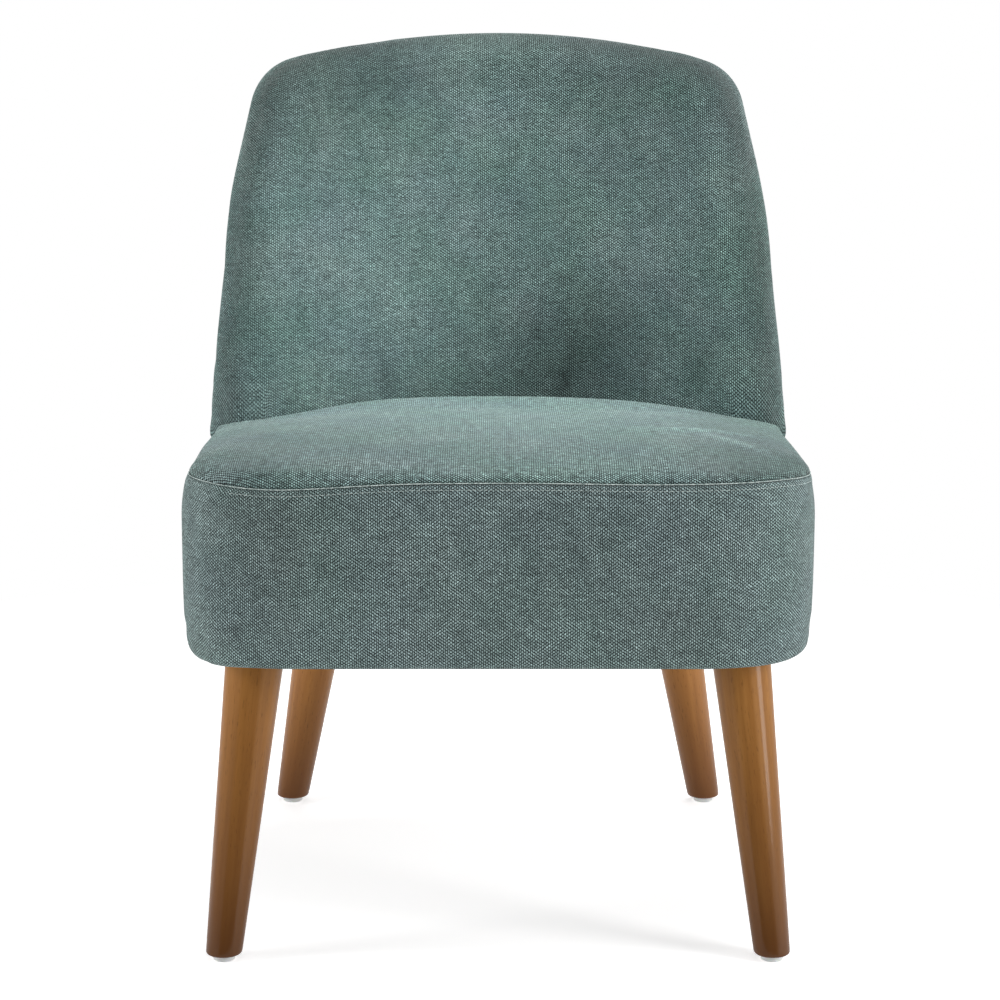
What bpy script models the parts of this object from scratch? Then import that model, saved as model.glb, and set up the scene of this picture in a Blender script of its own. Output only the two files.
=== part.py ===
"""Armless upholstered chair: a curved padded back on a boxed seat with four splayed turned legs.

Metres, +Z up, the front faces -Y. Points are worked out with y = 0 at the front of the seat and
x = 0 on the centre line. Every piece hangs on one empty that brings the middle of the chair over
the world origin. Left is -X and right is +X, as seen from in front.

The back is described by s, the length along its curve from the centre line, h, the height above
the floor, and n, the distance behind the front of its wooden frame.
"""
import cmath
import math

import bmesh
import bpy
from mathutils import Matrix, Vector

# Seat
SEAT_WIDTH = 0.580
SEAT_DEPTH = 0.472            # front of the seat to the face of the back, below the bend
SEAT_UNDERSIDE = 0.278
SEAM_HEIGHT = 0.450           # seam between band and top panel, at the front
SEAT_TILT = math.radians(4.5)
SEAT_CROWN = 0.030
CROWN_POWER = 3.5
FRONT_CORNER = 0.105          # radius of the front corners, seen from above
REAR_CORNER = 0.035
BAND_BULGE = 0.003            # how far the seam and the foot of the band lie inside its fullest line
BAND_PEAK = 0.72              # fullest line, as a share of the band's height
BAND_EDGE = 0.006             # radius of the band's lower edge
BAND_TURN_UNDER = 0.022       # fabric stapled under the rails

# Back
BACK_HEIGHT = 0.809
BACK_FACE_RADIUS = 0.460      # plan radius of the face that is leaned on
BACK_RAKE = math.radians(14.0)
BEND_HEIGHT = 0.400           # the back is upright below this height and raked above it
BEND_LENGTH = 0.050
BACK_OVERHANG = 0.003         # the padded back stands this far proud of the seat's sides
BACK_FRONT_EDGE = 0.034       # edge radius towards the sitter
BACK_REAR_EDGE = 0.020
SHOULDER_DROP = 0.164         # from the top of the back down to the shoulder
SIDE_TAPER = 0.100            # inward lean of the sides below the shoulder, as a slope
SHOULDER_TAPER = 0.245        # and above it
TOP_DROP = 0.032              # from the top of the back down to its corners
TOP_ANGLE = math.radians(12.0)
SHOULDER_RADIUS = 0.600
TOP_CORNER_RADIUS = 0.055

# Layers
COVER = 0.0025                # upholstery fabric with its lining
BACK_FOAM = 0.030
STRAP = 0.002
FRAME = 0.024                 # timber of the back frame
TACK_PANEL = 0.003
WADDING = 0.008
RAIL_PADDING = 0.012
DUST_COVER = 0.0012
INSULATOR = 0.004

# Seat frame
RAIL_THICKNESS = 0.022
RAIL_HEIGHT = 0.080
REAR_RAIL_LEDGE = 0.0143      # part of the rear rail in front of the back frame
BLOCK_HEIGHT = 0.045
BLOCK_SHOULDER = 0.020        # straight part of a front block beside its rounded corner
BLOCK_DEPTH = 0.052           # width of a front block behind the rails
REAR_BLOCK_LENGTH = 0.150     # along the side rail
REAR_BLOCK_REACH = 0.104      # from the leg bolt towards the centre line

# Back frame
FRAME_INSET = 0.022           # from the outline of the back to its posts
POST_WIDTH = 0.040
POST_DROP = 0.085             # from the top of the back down to the posts
TOP_RAIL_DROP = 0.040
BOTTOM_RAIL_HEIGHT = 0.040
LUMBAR_RAIL_HEIGHT = 0.040
LUMBAR_RAIL_RISE = 0.030      # from the bottom rail up to the lumbar rail
STRAP_WIDTH = 0.050
STRAP_SPACING = 0.105
SCREW_SPACING = 0.095         # coach screws between back frame and rear rail

# Legs
LEG_FOOT_DIAMETER = 0.0335
LEG_TOP_DIAMETER = 0.0545
FRONT_FOOT_INSET = 0.038      # foot to the side of the seat
FRONT_FOOT_SETBACK = 0.020    # foot behind the front of the seat
FRONT_LEAN_OUT = math.radians(6.16)
FRONT_LEAN_ALONG = math.radians(10.76)
REAR_FOOT_INSET = 0.0703
REAR_LEG_OFFSET = 0.0147      # leg bolt in front of the rear rail
REAR_LEAN_OUT = math.radians(9.87)
REAR_LEAN_ALONG = math.radians(15.11)
GLIDE_DIAMETER = 0.0205
GLIDE_HEIGHT = 0.0055
GLIDE_STEM = 0.006
GLIDE_STEM_LENGTH = 0.014
GLIDE_ROUND = 0.0016          # how far the glide's lower edge is rounded in
GLIDE_RIM = 0.0025            # height of the glide's full width above the floor

# Hardware
BOLT_DIAMETER = 0.008
BOLT_IN_LEG = 0.036
BOLT_IN_BLOCK = 0.024
PLATE = 0.0025
PLATE_DIAMETER = 0.050
BOSS_DIAMETER = 0.013
BOSS_LENGTH = 0.018
WIRE = 0.0036
SPRING_WIDTH = 0.050
SPRING_PITCH = 0.034
SPRING_END_MARGIN = 0.021     # end of the front rail to the middle of the outer spring
SPRING_COUNT = 4
CLIP_SHEET = 0.0012
CLIP_WIDTH = 0.016
CLIP_LENGTH = 0.012
SCREW_HEAD = 0.015
SCREW_HEAD_HEIGHT = 0.005
SCREW_LENGTH = 0.085
SCREW_COUNT = 4

# Clearances
GAP = 0.0003                  # between pieces that touch
SOFT_GAP = 0.0006             # between a cover and its filling
LAYER_GAP = 0.00095           # between curved layers of the back
SEAT_BACK_GAP = 0.0032        # between the seat and the back
COVER_SEAM = 0.0015           # between the two covers of the back
BORE_CLEARANCE = 0.0003

# Facets
CORNER_STEPS = 5
SHOULDER_STEPS = 2
CREST_STEPS = 3
EDGE_STEPS = 4
REAR_CORNER_STEPS = 3
REAR_STEPS = 14
RAIL_STEPS = 16
BLOCK_STEPS = 6
BAR_STEPS = {"s": 14, "h": 8}
ROUND_STEPS = 24
SMALL_ROUND_STEPS = 12
SHARP_ANGLE = math.radians(40.0)
FACE_SHARES = (0.0, 0.14, 0.28, 0.42, 0.56, 0.70, 0.85, 1.0)
DOME_SHARES = (0.0, 0.15, 0.32, 0.50, 0.66, 0.79, 0.88, 0.94, 0.98, 1.0)
BACK_SIDE_SHARES = (0.25, 0.5, 0.75)
SEAT_SIDE_SHARES = (0.35, 0.7)
BAND_SHOULDER_SHARE = 0.88    # row of the band between its fullest line and the seam
BAND_SHARES = (0.0, 0.35, BAND_PEAK, BAND_SHOULDER_SHARE, 1.0)
REAR_FOLLOW = 8               # how late the rows of the seat take up the curve of the back
MERGE_DISTANCE = 1e-6

# Levels that follow from the sizes above
HALF_WIDTH = SEAT_WIDTH / 2
DUST_TOP = SEAT_UNDERSIDE - GAP
LEG_TOP = DUST_TOP - DUST_COVER - GAP
LEG_BOTTOM = GLIDE_HEIGHT + GAP
PLATE_TOP = SEAT_UNDERSIDE + PLATE
RAIL_BOTTOM = SEAT_UNDERSIDE + max(COVER, PLATE) + GAP
RAIL_TOP = RAIL_BOTTOM + RAIL_HEIGHT
CLIP_BOTTOM = RAIL_TOP + GAP
WIRE_LEVEL = CLIP_BOTTOM + CLIP_SHEET + GAP + WIRE / 2
CLIP_TOP = WIRE_LEVEL + WIRE / 2 + GAP + CLIP_SHEET
INSULATOR_BOTTOM = CLIP_TOP + GAP
FOAM_BOTTOM = INSULATOR_BOTTOM + INSULATOR + GAP
RAIL_INSET = COVER + GAP + RAIL_PADDING + GAP
FRAME_BOTTOM = RAIL_TOP + GAP

# Layers of the back, measured behind the front of its frame
STRAP_REAR = -LAYER_GAP
FOAM_REAR = STRAP_REAR - STRAP - LAYER_GAP
FOAM_FRONT = FOAM_REAR - BACK_FOAM
FACE = FOAM_FRONT - SOFT_GAP - COVER
PANEL_FRONT = FRAME + LAYER_GAP
PANEL_REAR = PANEL_FRONT + TACK_PANEL
WADDING_FRONT = PANEL_REAR + GAP
WADDING_REAR = WADDING_FRONT + WADDING
REAR_FACE = WADDING_REAR + SOFT_GAP + COVER
FRAME_RADIUS = BACK_FACE_RADIUS - FACE
REAR_RADIUS = FRAME_RADIUS + REAR_FACE
CURVE_CENTRE = SEAT_DEPTH - BACK_FACE_RADIUS

SIDES = (("left", -1), ("right", 1))


def rake(height):
    """Backward shift of the back at a height: none low down, then a smooth bend into the rake."""
    rise = height - BEND_HEIGHT
    return math.tan(BACK_RAKE) * (math.hypot(rise, BEND_LENGTH) + rise) / 2


def back_point(s, h, n):
    """World point of the back from its own coordinates."""
    angle = s / FRAME_RADIUS
    radius = FRAME_RADIUS + n
    return Vector((radius * math.sin(angle), CURVE_CENTRE + radius * math.cos(angle) + rake(h), h))


def base_half_length():
    """Length s of the back's side at the base, where it stands just proud of the seat."""
    widest = FRAME_RADIUS + REAR_FACE - BACK_REAR_EDGE
    return FRAME_RADIUS * math.asin((HALF_WIDTH + BACK_OVERHANG) / widest)


BASE_HALF = base_half_length()
TIP_ANGLE = (BASE_HALF - BACK_FRONT_EDGE) / FRAME_RADIUS
TIP_X = (BACK_FACE_RADIUS + BACK_FRONT_EDGE) * math.sin(TIP_ANGLE)
TIP_Y = CURVE_CENTRE + (BACK_FACE_RADIUS + BACK_FRONT_EDGE) * math.cos(TIP_ANGLE)
FACE_HALF_WIDTH = BACK_FACE_RADIUS * math.sin(TIP_ANGLE)
LEVEL_FROM = TIP_Y - BACK_FRONT_EDGE


def seam_height(y):
    """Height of the seam: it falls towards the back and runs level beside it."""
    return SEAM_HEIGHT - math.tan(SEAT_TILT) * min(y, LEVEL_FROM)


BACK_BASE = seam_height(LEVEL_FROM) + LAYER_GAP
DEPTH = CURVE_CENTRE + REAR_RADIUS + rake(BACK_HEIGHT - BACK_REAR_EDGE)


def half_length(h):
    """Half length s of the back's outline at a height, before its corners are rounded."""
    shoulder = BACK_HEIGHT - SHOULDER_DROP
    low = BASE_HALF - SIDE_TAPER * (min(h, shoulder) - BACK_BASE)
    return low - SHOULDER_TAPER * max(h - shoulder, 0.0)


def outline_corners():
    """Right half of the back's outline as corners s + jh, from the base to the top."""
    shoulder = BACK_HEIGHT - SHOULDER_DROP
    top_corner = BACK_HEIGHT - TOP_DROP
    corners = [complex(half_length(h), h) for h in (BACK_BASE, shoulder, top_corner)]
    crest = half_length(top_corner) - TOP_DROP / math.tan(TOP_ANGLE)
    return corners + [complex(crest, BACK_HEIGHT)]


def cross(a, b):
    return (a.conjugate() * b).imag


def inset_corners(corners, inset):
    """Move every side of an open outline to its left by the inset; the ends stay on the base."""
    sides = []
    for start, end in zip(corners, corners[1:]):
        along = (end - start) / abs(end - start)
        sides.append((start + 1j * along * inset, along))
    level = (complex(0, BACK_BASE), complex(1, 0))
    lines = [level] + sides + [level]
    moved = []
    for (p, d), (q, e) in zip(lines, lines[1:]):
        moved.append(p + d * cross(q - p, e) / cross(d, e))
    return moved


def half_angle(before, corner, after):
    """Half of the angle inside a corner of an outline."""
    return abs(cmath.phase((after - corner) / (before - corner))) / 2


def rounded_corner(before, corner, after, radius, steps):
    """Points of the arc that rounds one corner of an outline."""
    u = (before - corner) / abs(before - corner)
    v = (after - corner) / abs(after - corner)
    half = half_angle(before, corner, after)
    start = corner + u * radius / math.tan(half)
    centre = corner + (u + v) / abs(u + v) * radius / math.sin(half)
    turn = math.copysign(math.pi - 2 * half, cross(corner - before, after - corner))
    return [centre + (start - centre) * cmath.exp(1j * turn * i / steps) for i in range(steps + 1)]


def crest_radius(right):
    """Radius of the crown of the back, limited by the sloping side between crest and corner."""
    corner_reach = TOP_CORNER_RADIUS / math.tan(half_angle(*right[1:]))
    reach = min(right[3].real, abs(right[3] - right[2]) - corner_reach)
    return reach / math.tan(TOP_ANGLE / 2)


def arch(inset):
    """Outline of the back, moved in by an inset, from its right foot over the top to the left."""
    right = outline_corners()
    corners = right + [complex(-p.real, p.imag) for p in reversed(right)]
    corners = inset_corners(corners, inset)
    crest = crest_radius(right)
    radii = (SHOULDER_RADIUS, TOP_CORNER_RADIUS, crest, crest, TOP_CORNER_RADIUS, SHOULDER_RADIUS)
    steps = (SHOULDER_STEPS, CORNER_STEPS, CREST_STEPS, CREST_STEPS, CORNER_STEPS, SHOULDER_STEPS)
    points = [corners[0]]
    for i, (radius, count) in enumerate(zip(radii, steps), start=1):
        bend = rounded_corner(corners[i - 1], corners[i], corners[i + 1], radius - inset, count)
        points += bend
    points.append(corners[-1])
    return with_side_points(points)


def with_side_points(points):
    """Add points along the two straight sides, which follow the bend of the back."""
    first = [points[0] + (points[1] - points[0]) * share for share in BACK_SIDE_SHARES]
    last = [points[-2] + (points[-1] - points[-2]) * share for share in BACK_SIDE_SHARES]
    return points[:1] + first + points[1:-1] + last + points[-1:]


def arch_row(inset, n, share=1.0):
    """One row of points round the back, shrunk towards the middle of its base by a share."""
    centre = complex(0, BACK_BASE)
    row = [centre + (p - centre) * share for p in arch(inset)]
    return [back_point(p.real, p.imag, n) for p in row]


def back_face_y(x, level):
    """Front of the back at a distance x from the centre line, with the gap to the seat."""
    x = abs(x)
    if x < FACE_HALF_WIDTH:
        radius = BACK_FACE_RADIUS - SEAT_BACK_GAP
        return CURVE_CENTRE + math.sqrt(radius ** 2 - x ** 2) + rake(level)
    radius = BACK_FRONT_EDGE + SEAT_BACK_GAP
    return TIP_Y - math.sqrt(max(radius ** 2 - (x - TIP_X) ** 2, 0.0)) + rake(level)


def arc(centre, radius, start, end, steps):
    """Points of an arc seen from above, angles from +X."""
    angles = [start + (end - start) * i / steps for i in range(steps + 1)]
    return [(centre[0] + radius * math.cos(a), centre[1] + radius * math.sin(a)) for a in angles]


def base_ring(inset, level):
    """Plan of the seat box at a height, moved in: front corners, sides and the curved rear."""
    front = (HALF_WIDTH - FRONT_CORNER, FRONT_CORNER)
    x = HALF_WIDTH - REAR_CORNER
    reach = math.sqrt((REAR_RADIUS - REAR_CORNER) ** 2 - x ** 2)
    turn = math.atan2(reach, x)
    middle = CURVE_CENTRE + rake(level)
    right = arc(front, FRONT_CORNER - inset, -math.pi / 2, 0.0, CORNER_STEPS)
    right.append((HALF_WIDTH - inset, LEVEL_FROM))
    right += arc((x, middle + reach), REAR_CORNER - inset, 0.0, turn, REAR_CORNER_STEPS)
    crown = arc((0.0, middle), REAR_RADIUS - inset, turn, math.pi - turn, REAR_STEPS)[1:-1]
    left = [(-px, py) for px, py in reversed(right)]
    return right + crown + left


def seat_path(inset, level):
    """Plan of the seat in front of the back, from the rear left round the front to the right."""
    front = (HALF_WIDTH - FRONT_CORNER, FRONT_CORNER)
    side = HALF_WIDTH - inset
    end = (side, back_face_y(side, level))
    right = arc(front, FRONT_CORNER - inset, -math.pi / 2, 0.0, CORNER_STEPS)
    right += [(side, FRONT_CORNER + (end[1] - FRONT_CORNER) * share) for share in SEAT_SIDE_SHARES]
    right.append(end)
    return [(-x, y) for x, y in reversed(right)] + [(0.0, inset)] + right


def seat_row(inset, share, level, height):
    """One row of the seat, shrunk towards the middle of its rear edge, which follows the back."""
    path = seat_path(inset, level)
    end_x, end_y = path[-1]
    middle = back_face_y(0.0, level)
    row = []
    for edge_x, edge_y in path:
        x = edge_x * share
        y = middle + (edge_y - middle) * share
        chord = middle + (end_y - middle) * abs(x) / end_x
        y += (back_face_y(x, level) - chord) * max(y / chord, 0.0) ** REAR_FOLLOW
        row.append(Vector((x, y, height(y))))
    return row


def band_inset(share):
    """Inset of the band at a share of its height: fullest at BAND_PEAK."""
    span = BAND_PEAK if share < BAND_PEAK else 1 - BAND_PEAK
    return BAND_BULGE * ((share - BAND_PEAK) / span) ** 2


def band_low():
    """Height where the band's rounded lower edge ends."""
    return SEAT_UNDERSIDE + BAND_EDGE


def band_height(share, y):
    return band_low() + share * (seam_height(y) - band_low())


def dome_rise(share):
    """Rise of the seat above its seam, from 0 at the seam to the full crown."""
    return SEAT_CROWN * math.sqrt(max(1 - share ** CROWN_POWER, 0.0))


def leg_foot(front, side):
    """Centre of a leg's foot: a rear leg leans out from a bolt that follows the rear rail."""
    if front:
        return Vector((side * (HALF_WIDTH - FRONT_FOOT_INSET), FRONT_FOOT_SETBACK, LEG_BOTTOM))
    length = LEG_TOP - LEG_BOTTOM
    x = HALF_WIDTH - REAR_FOOT_INSET
    bolt_x = x - math.tan(REAR_LEAN_OUT) * length
    bolt_y = on_curve(REAR_RAIL_FRONT - REAR_LEG_OFFSET, bolt_x)
    return Vector((side * x, bolt_y + math.tan(REAR_LEAN_ALONG) * length, LEG_BOTTOM))


def leg_head(front, side):
    """Centre of a leg's top face: the foot, moved inwards by the lean of the leg."""
    out = math.tan(FRONT_LEAN_OUT if front else REAR_LEAN_OUT)
    along = math.tan(FRONT_LEAN_ALONG) if front else -math.tan(REAR_LEAN_ALONG)
    return leg_foot(front, side) + Vector((-side * out, along, 1.0)) * (LEG_TOP - LEG_BOTTOM)


class Workshop:
    """Collections, materials and the empty that all pieces hang on."""

    def __init__(self):
        for item in list(bpy.data.objects):
            bpy.data.objects.remove(item, do_unlink=True)
        self.parts = bpy.data.collections.new("upholstered_chair")
        self.cutters = bpy.data.collections.new("chair_cutters")
        for collection in (self.parts, self.cutters):
            bpy.context.scene.collection.children.link(collection)
        self.root = bpy.data.objects.new("chair_middle", None)
        self.root.location = (0.0, -DEPTH / 2, 0.0)
        self.parts.objects.link(self.root)
        self.finishes = {}

    def finish(self, name, colour, roughness, metallic=0.0):
        material = bpy.data.materials.new(name)
        material.use_nodes = True
        shader = material.node_tree.nodes["Principled BSDF"]
        shader.inputs["Base Color"].default_value = (*colour, 1.0)
        shader.inputs["Roughness"].default_value = roughness
        shader.inputs["Metallic"].default_value = metallic
        self.finishes[name] = material

    def place(self, name, data, finish):
        """Link a finished mesh or curve as one named piece."""
        piece = bpy.data.objects.new(name, data)
        data.materials.append(self.finishes[finish])
        self.parts.objects.link(piece)
        piece.parent = self.root
        return piece

    def solid(self, name, bm, finish, closed=True):
        """Turn a bmesh into a named piece, shaded smooth up to its sharp edges."""
        bmesh.ops.remove_doubles(bm, verts=bm.verts, dist=MERGE_DISTANCE)
        bmesh.ops.dissolve_degenerate(bm, edges=bm.edges, dist=MERGE_DISTANCE)
        if closed:
            bmesh.ops.recalc_face_normals(bm, faces=bm.faces)
        mesh = bpy.data.meshes.new(name)
        bm.to_mesh(mesh)
        bm.free()
        mesh.shade_smooth()
        mesh.set_sharp_from_angle(angle=SHARP_ANGLE)
        return self.place(name, mesh, finish)

    def sheet(self, name, rows, finish, ring=False):
        """A fabric shell: an open surface through rows of points, thickened inwards."""
        bm = bmesh.new()
        skin(bm, rows, ring)
        piece = self.solid(name, bm, finish, closed=False)
        thick = piece.modifiers.new("fabric", "SOLIDIFY")
        thick.thickness = COVER
        thick.offset = -1.0
        thick.use_even_offset = True
        return piece

    def bore(self, piece, point, radius, length, axis=Vector((0, 0, 1))):
        """Cut a round hole of a length either side of a point."""
        bm = bmesh.new()
        bmesh.ops.create_cone(bm, cap_ends=True, segments=SMALL_ROUND_STEPS, radius1=radius,
                              radius2=radius, depth=2 * length)
        turn = Vector((0, 0, 1)).rotation_difference(axis).to_matrix().to_4x4()
        bm.transform(Matrix.Translation(point) @ turn)
        mesh = bpy.data.meshes.new(piece.name + "_bore")
        bm.to_mesh(mesh)
        bm.free()
        cutter = bpy.data.objects.new(mesh.name, mesh)
        self.cutters.objects.link(cutter)
        cutter.parent = self.root
        cutter.hide_render = True
        cutter.display_type = "WIRE"
        cut = piece.modifiers.new("bore", "BOOLEAN")
        cut.operation = "DIFFERENCE"
        cut.solver = "EXACT"
        cut.object = cutter


def skin(bm, rows, ring):
    """Join neighbouring rows of points with triangles, and return the rows of vertices.

    Each four-sided patch is split along its shorter diagonal, so that layers lie parallel.
    """
    grid = [[bm.verts.new(p) for p in row] for row in rows]
    count = len(grid[0])
    for low, high in zip(grid, grid[1:]):
        for i in range(count if ring else count - 1):
            j = (i + 1) % count
            rising = (low[i].co - high[j].co).length
            falling = (low[j].co - high[i].co).length
            if rising < falling:
                bm.faces.new((low[i], low[j], high[j]))
                bm.faces.new((low[i], high[j], high[i]))
            else:
                bm.faces.new((low[i], low[j], high[i]))
                bm.faces.new((low[j], high[j], high[i]))
    return grid


def pillow(first, between, last):
    """Closed body from open rows: one face growing, its edge, the other face shrinking.

    first and last have matching shares, so that their ends are joined strip by strip.
    """
    bm = bmesh.new()
    grid = skin(bm, first + between + last, ring=False)
    count = len(first)
    edge = grid[count:-count]
    for end in (0, -1):
        for i in range(count - 1):
            inner = (grid[-1 - i][end], grid[i][end])
            outer = (grid[i + 1][end], grid[-2 - i][end])
            middle = [row[end] for row in edge] if i == count - 2 else []
            bm.faces.new((*inner, outer[0], *middle, outer[1]))
    return bm


def loft(rings):
    """Closed body through rings of points, with flat ends."""
    bm = bmesh.new()
    grid = skin(bm, rings, ring=True)
    bm.faces.new(grid[0])
    bm.faces.new(grid[-1])
    return bm


def prism(outline, depth):
    """A flat outline carried along a vector."""
    return loft([outline, [p + depth for p in outline]])


def raise_plan(points, z):
    return [Vector((x, y, z)) for x, y in points]


def turned(shop, name, profile, point, finish, steps, closed=False):
    """A turned piece: a profile of radius and height, top to bottom, spun round a vertical line."""
    mesh = bpy.data.meshes.new(name)
    count = len(profile)
    edges = [(i, (i + 1) % count) for i in range(count if closed else count - 1)]
    mesh.from_pydata([(r, 0.0, z) for r, z in profile], edges, [])
    piece = shop.place(name, mesh, finish)
    piece.location = point
    spin = piece.modifiers.new("turn", "SCREW")
    spin.angle = 2 * math.pi
    spin.steps = steps
    spin.render_steps = steps
    spin.use_merge_vertices = True
    spin.merge_threshold = MERGE_DISTANCE
    spin.use_smooth_shade = True
    return piece


def make_finishes(shop):
    shop.finish("woven_upholstery", (0.130, 0.185, 0.178), 0.90)
    shop.finish("stained_beech", (0.245, 0.110, 0.036), 0.38)
    shop.finish("glide_plastic", (0.760, 0.750, 0.720), 0.35)
    shop.finish("frame_pine", (0.560, 0.390, 0.220), 0.70)
    shop.finish("zinc_steel", (0.560, 0.570, 0.580), 0.35, 1.0)
    shop.finish("spring_steel", (0.180, 0.185, 0.190), 0.40, 1.0)
    shop.finish("seat_foam", (0.800, 0.760, 0.600), 0.95)
    shop.finish("white_wadding", (0.850, 0.850, 0.830), 0.95)
    shop.finish("grey_felt", (0.330, 0.320, 0.310), 0.95)
    shop.finish("dust_cloth", (0.030, 0.030, 0.032), 0.95)
    shop.finish("elastic_webbing", (0.060, 0.060, 0.065), 0.85)
    shop.finish("fibre_board", (0.360, 0.250, 0.150), 0.85)


def make_legs(shop):
    """Turned legs, cut level at both ends, each with a plate, a bolt and a nailed glide."""
    for end, front in (("front", True), ("rear", False)):
        for side_name, side in SIDES:
            tag = end + "_" + side_name
            foot = leg_foot(front, side)
            head = leg_head(front, side)
            make_leg(shop, "leg_" + tag, foot, head)
            make_glide(shop, "glide_" + tag, foot)
            make_leg_hardware(shop, tag, head)


def make_leg(shop, name, foot, head):
    length = head.z - foot.z
    bm = bmesh.new()
    bmesh.ops.create_cone(bm, cap_ends=True, segments=ROUND_STEPS, radius1=LEG_FOOT_DIAMETER / 2,
                          radius2=LEG_TOP_DIAMETER / 2, depth=length)
    lean = Matrix.Identity(4)
    lean[0][2] = (head.x - foot.x) / length
    lean[1][2] = (head.y - foot.y) / length
    bm.transform(Matrix.Translation((foot + head) / 2) @ lean)
    leg = shop.solid(name, bm, "stained_beech")
    shop.bore(leg, head, BOLT_DIAMETER / 2 + BORE_CLEARANCE, BOLT_IN_LEG + BORE_CLEARANCE)
    shop.bore(leg, foot, GLIDE_STEM / 2 + BORE_CLEARANCE, GLIDE_STEM_LENGTH + BORE_CLEARANCE)


def make_glide(shop, name, foot):
    """Nail-on glide: a rounded disc below the leg with its stem in the foot."""
    radius = GLIDE_DIAMETER / 2
    stem = GLIDE_STEM / 2
    profile = [(0.0, GLIDE_HEIGHT + GLIDE_STEM_LENGTH), (stem, GLIDE_HEIGHT + GLIDE_STEM_LENGTH)]
    profile += [(stem, GLIDE_HEIGHT), (radius, GLIDE_HEIGHT), (radius, GLIDE_RIM)]
    profile += [(radius - GLIDE_ROUND, 0.0), (0.0, 0.0)]
    turned(shop, name, profile, (foot.x, foot.y, 0.0), "glide_plastic", SMALL_ROUND_STEPS)


def make_leg_hardware(shop, tag, head):
    """A plate with a threaded boss under the corner block, and the bolt that joins the leg to it."""
    bore = BOLT_DIAMETER / 2 + BORE_CLEARANCE
    base = SEAT_UNDERSIDE
    profile = [(bore, PLATE_TOP + BOSS_LENGTH), (BOSS_DIAMETER / 2, PLATE_TOP + BOSS_LENGTH)]
    profile += [(BOSS_DIAMETER / 2, PLATE_TOP), (PLATE_DIAMETER / 2, PLATE_TOP)]
    profile += [(PLATE_DIAMETER / 2, base), (bore, base)]
    turned(shop, "leg_plate_" + tag, profile, (head.x, head.y, 0.0), "zinc_steel",
           SMALL_ROUND_STEPS, closed=True)
    bottom = LEG_TOP - BOLT_IN_LEG
    top = PLATE_TOP + BOLT_IN_BLOCK
    radius = BOLT_DIAMETER / 2
    profile = [(0.0, top), (radius, top), (radius, bottom), (0.0, bottom)]
    turned(shop, "leg_bolt_" + tag, profile, (head.x, head.y, 0.0), "zinc_steel", SMALL_ROUND_STEPS)


def box(low, high):
    """A box between two corners."""
    low, high = Vector(low), Vector(high)
    bm = bmesh.new()
    bmesh.ops.create_cube(bm, size=1.0)
    size = high - low
    bm.transform(Matrix.Translation((low + high) / 2) @ Matrix.Diagonal((*size, 1.0)))
    return bm


RAIL_SIDE = HALF_WIDTH - RAIL_INSET
FRONT_RAIL_END = HALF_WIDTH - FRONT_CORNER - BLOCK_SHOULDER
SIDE_RAIL_START = FRONT_CORNER + BLOCK_SHOULDER
REAR_RAIL_FRONT = FRAME_RADIUS - REAR_RAIL_LEDGE
REAR_RAIL_REAR = REAR_RADIUS - RAIL_INSET


def on_curve(radius, x):
    """Depth of the rear curve at a distance x from the centre line, below the bend."""
    return CURVE_CENTRE + math.sqrt(radius ** 2 - x ** 2)


def make_seat_frame(shop):
    """Front, side and curved rear rails with a block in every corner."""
    front = box((-FRONT_RAIL_END, RAIL_INSET, RAIL_BOTTOM),
                (FRONT_RAIL_END, RAIL_INSET + RAIL_THICKNESS, RAIL_TOP))
    shop.solid("seat_front_rail", front, "frame_pine")
    corner_x = HALF_WIDTH - REAR_CORNER
    rail_end = CURVE_CENTRE + math.sqrt((REAR_RADIUS - REAR_CORNER) ** 2 - corner_x ** 2)
    for side_name, side in SIDES:
        inner, outer = sorted((side * (RAIL_SIDE - RAIL_THICKNESS), side * RAIL_SIDE))
        rail = box((inner, SIDE_RAIL_START, RAIL_BOTTOM), (outer, rail_end, RAIL_TOP))
        shop.solid("seat_side_rail_" + side_name, rail, "frame_pine")
        make_front_block(shop, side_name, side)
        make_rear_block(shop, side_name, side)
    make_rear_rail(shop)


def make_rear_rail(shop):
    end = RAIL_SIDE - RAIL_THICKNESS - GAP
    rings = []
    for i in range(RAIL_STEPS + 1):
        x = end * (2 * i / RAIL_STEPS - 1)
        ring = []
        for radius, z in ((REAR_RAIL_FRONT, RAIL_BOTTOM), (REAR_RAIL_REAR, RAIL_BOTTOM),
                          (REAR_RAIL_REAR, RAIL_TOP), (REAR_RAIL_FRONT, RAIL_TOP)):
            ring.append(Vector((x, on_curve(radius, x), z)))
        rings.append(ring)
    rail = shop.solid("seat_rear_rail", loft(rings), "frame_pine")
    for point in screw_points():
        shop.bore(rail, point, BOLT_DIAMETER / 2 + BORE_CLEARANCE, SCREW_LENGTH)


def bore_block(shop, block, head):
    """Hole for the boss of the leg plate and the end of its bolt."""
    point = Vector((head.x, head.y, RAIL_BOTTOM))
    depth = max(BOSS_LENGTH, BOLT_IN_BLOCK) + 2 * GAP
    shop.bore(block, point, BOSS_DIAMETER / 2 + BORE_CLEARANCE, depth)


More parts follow.
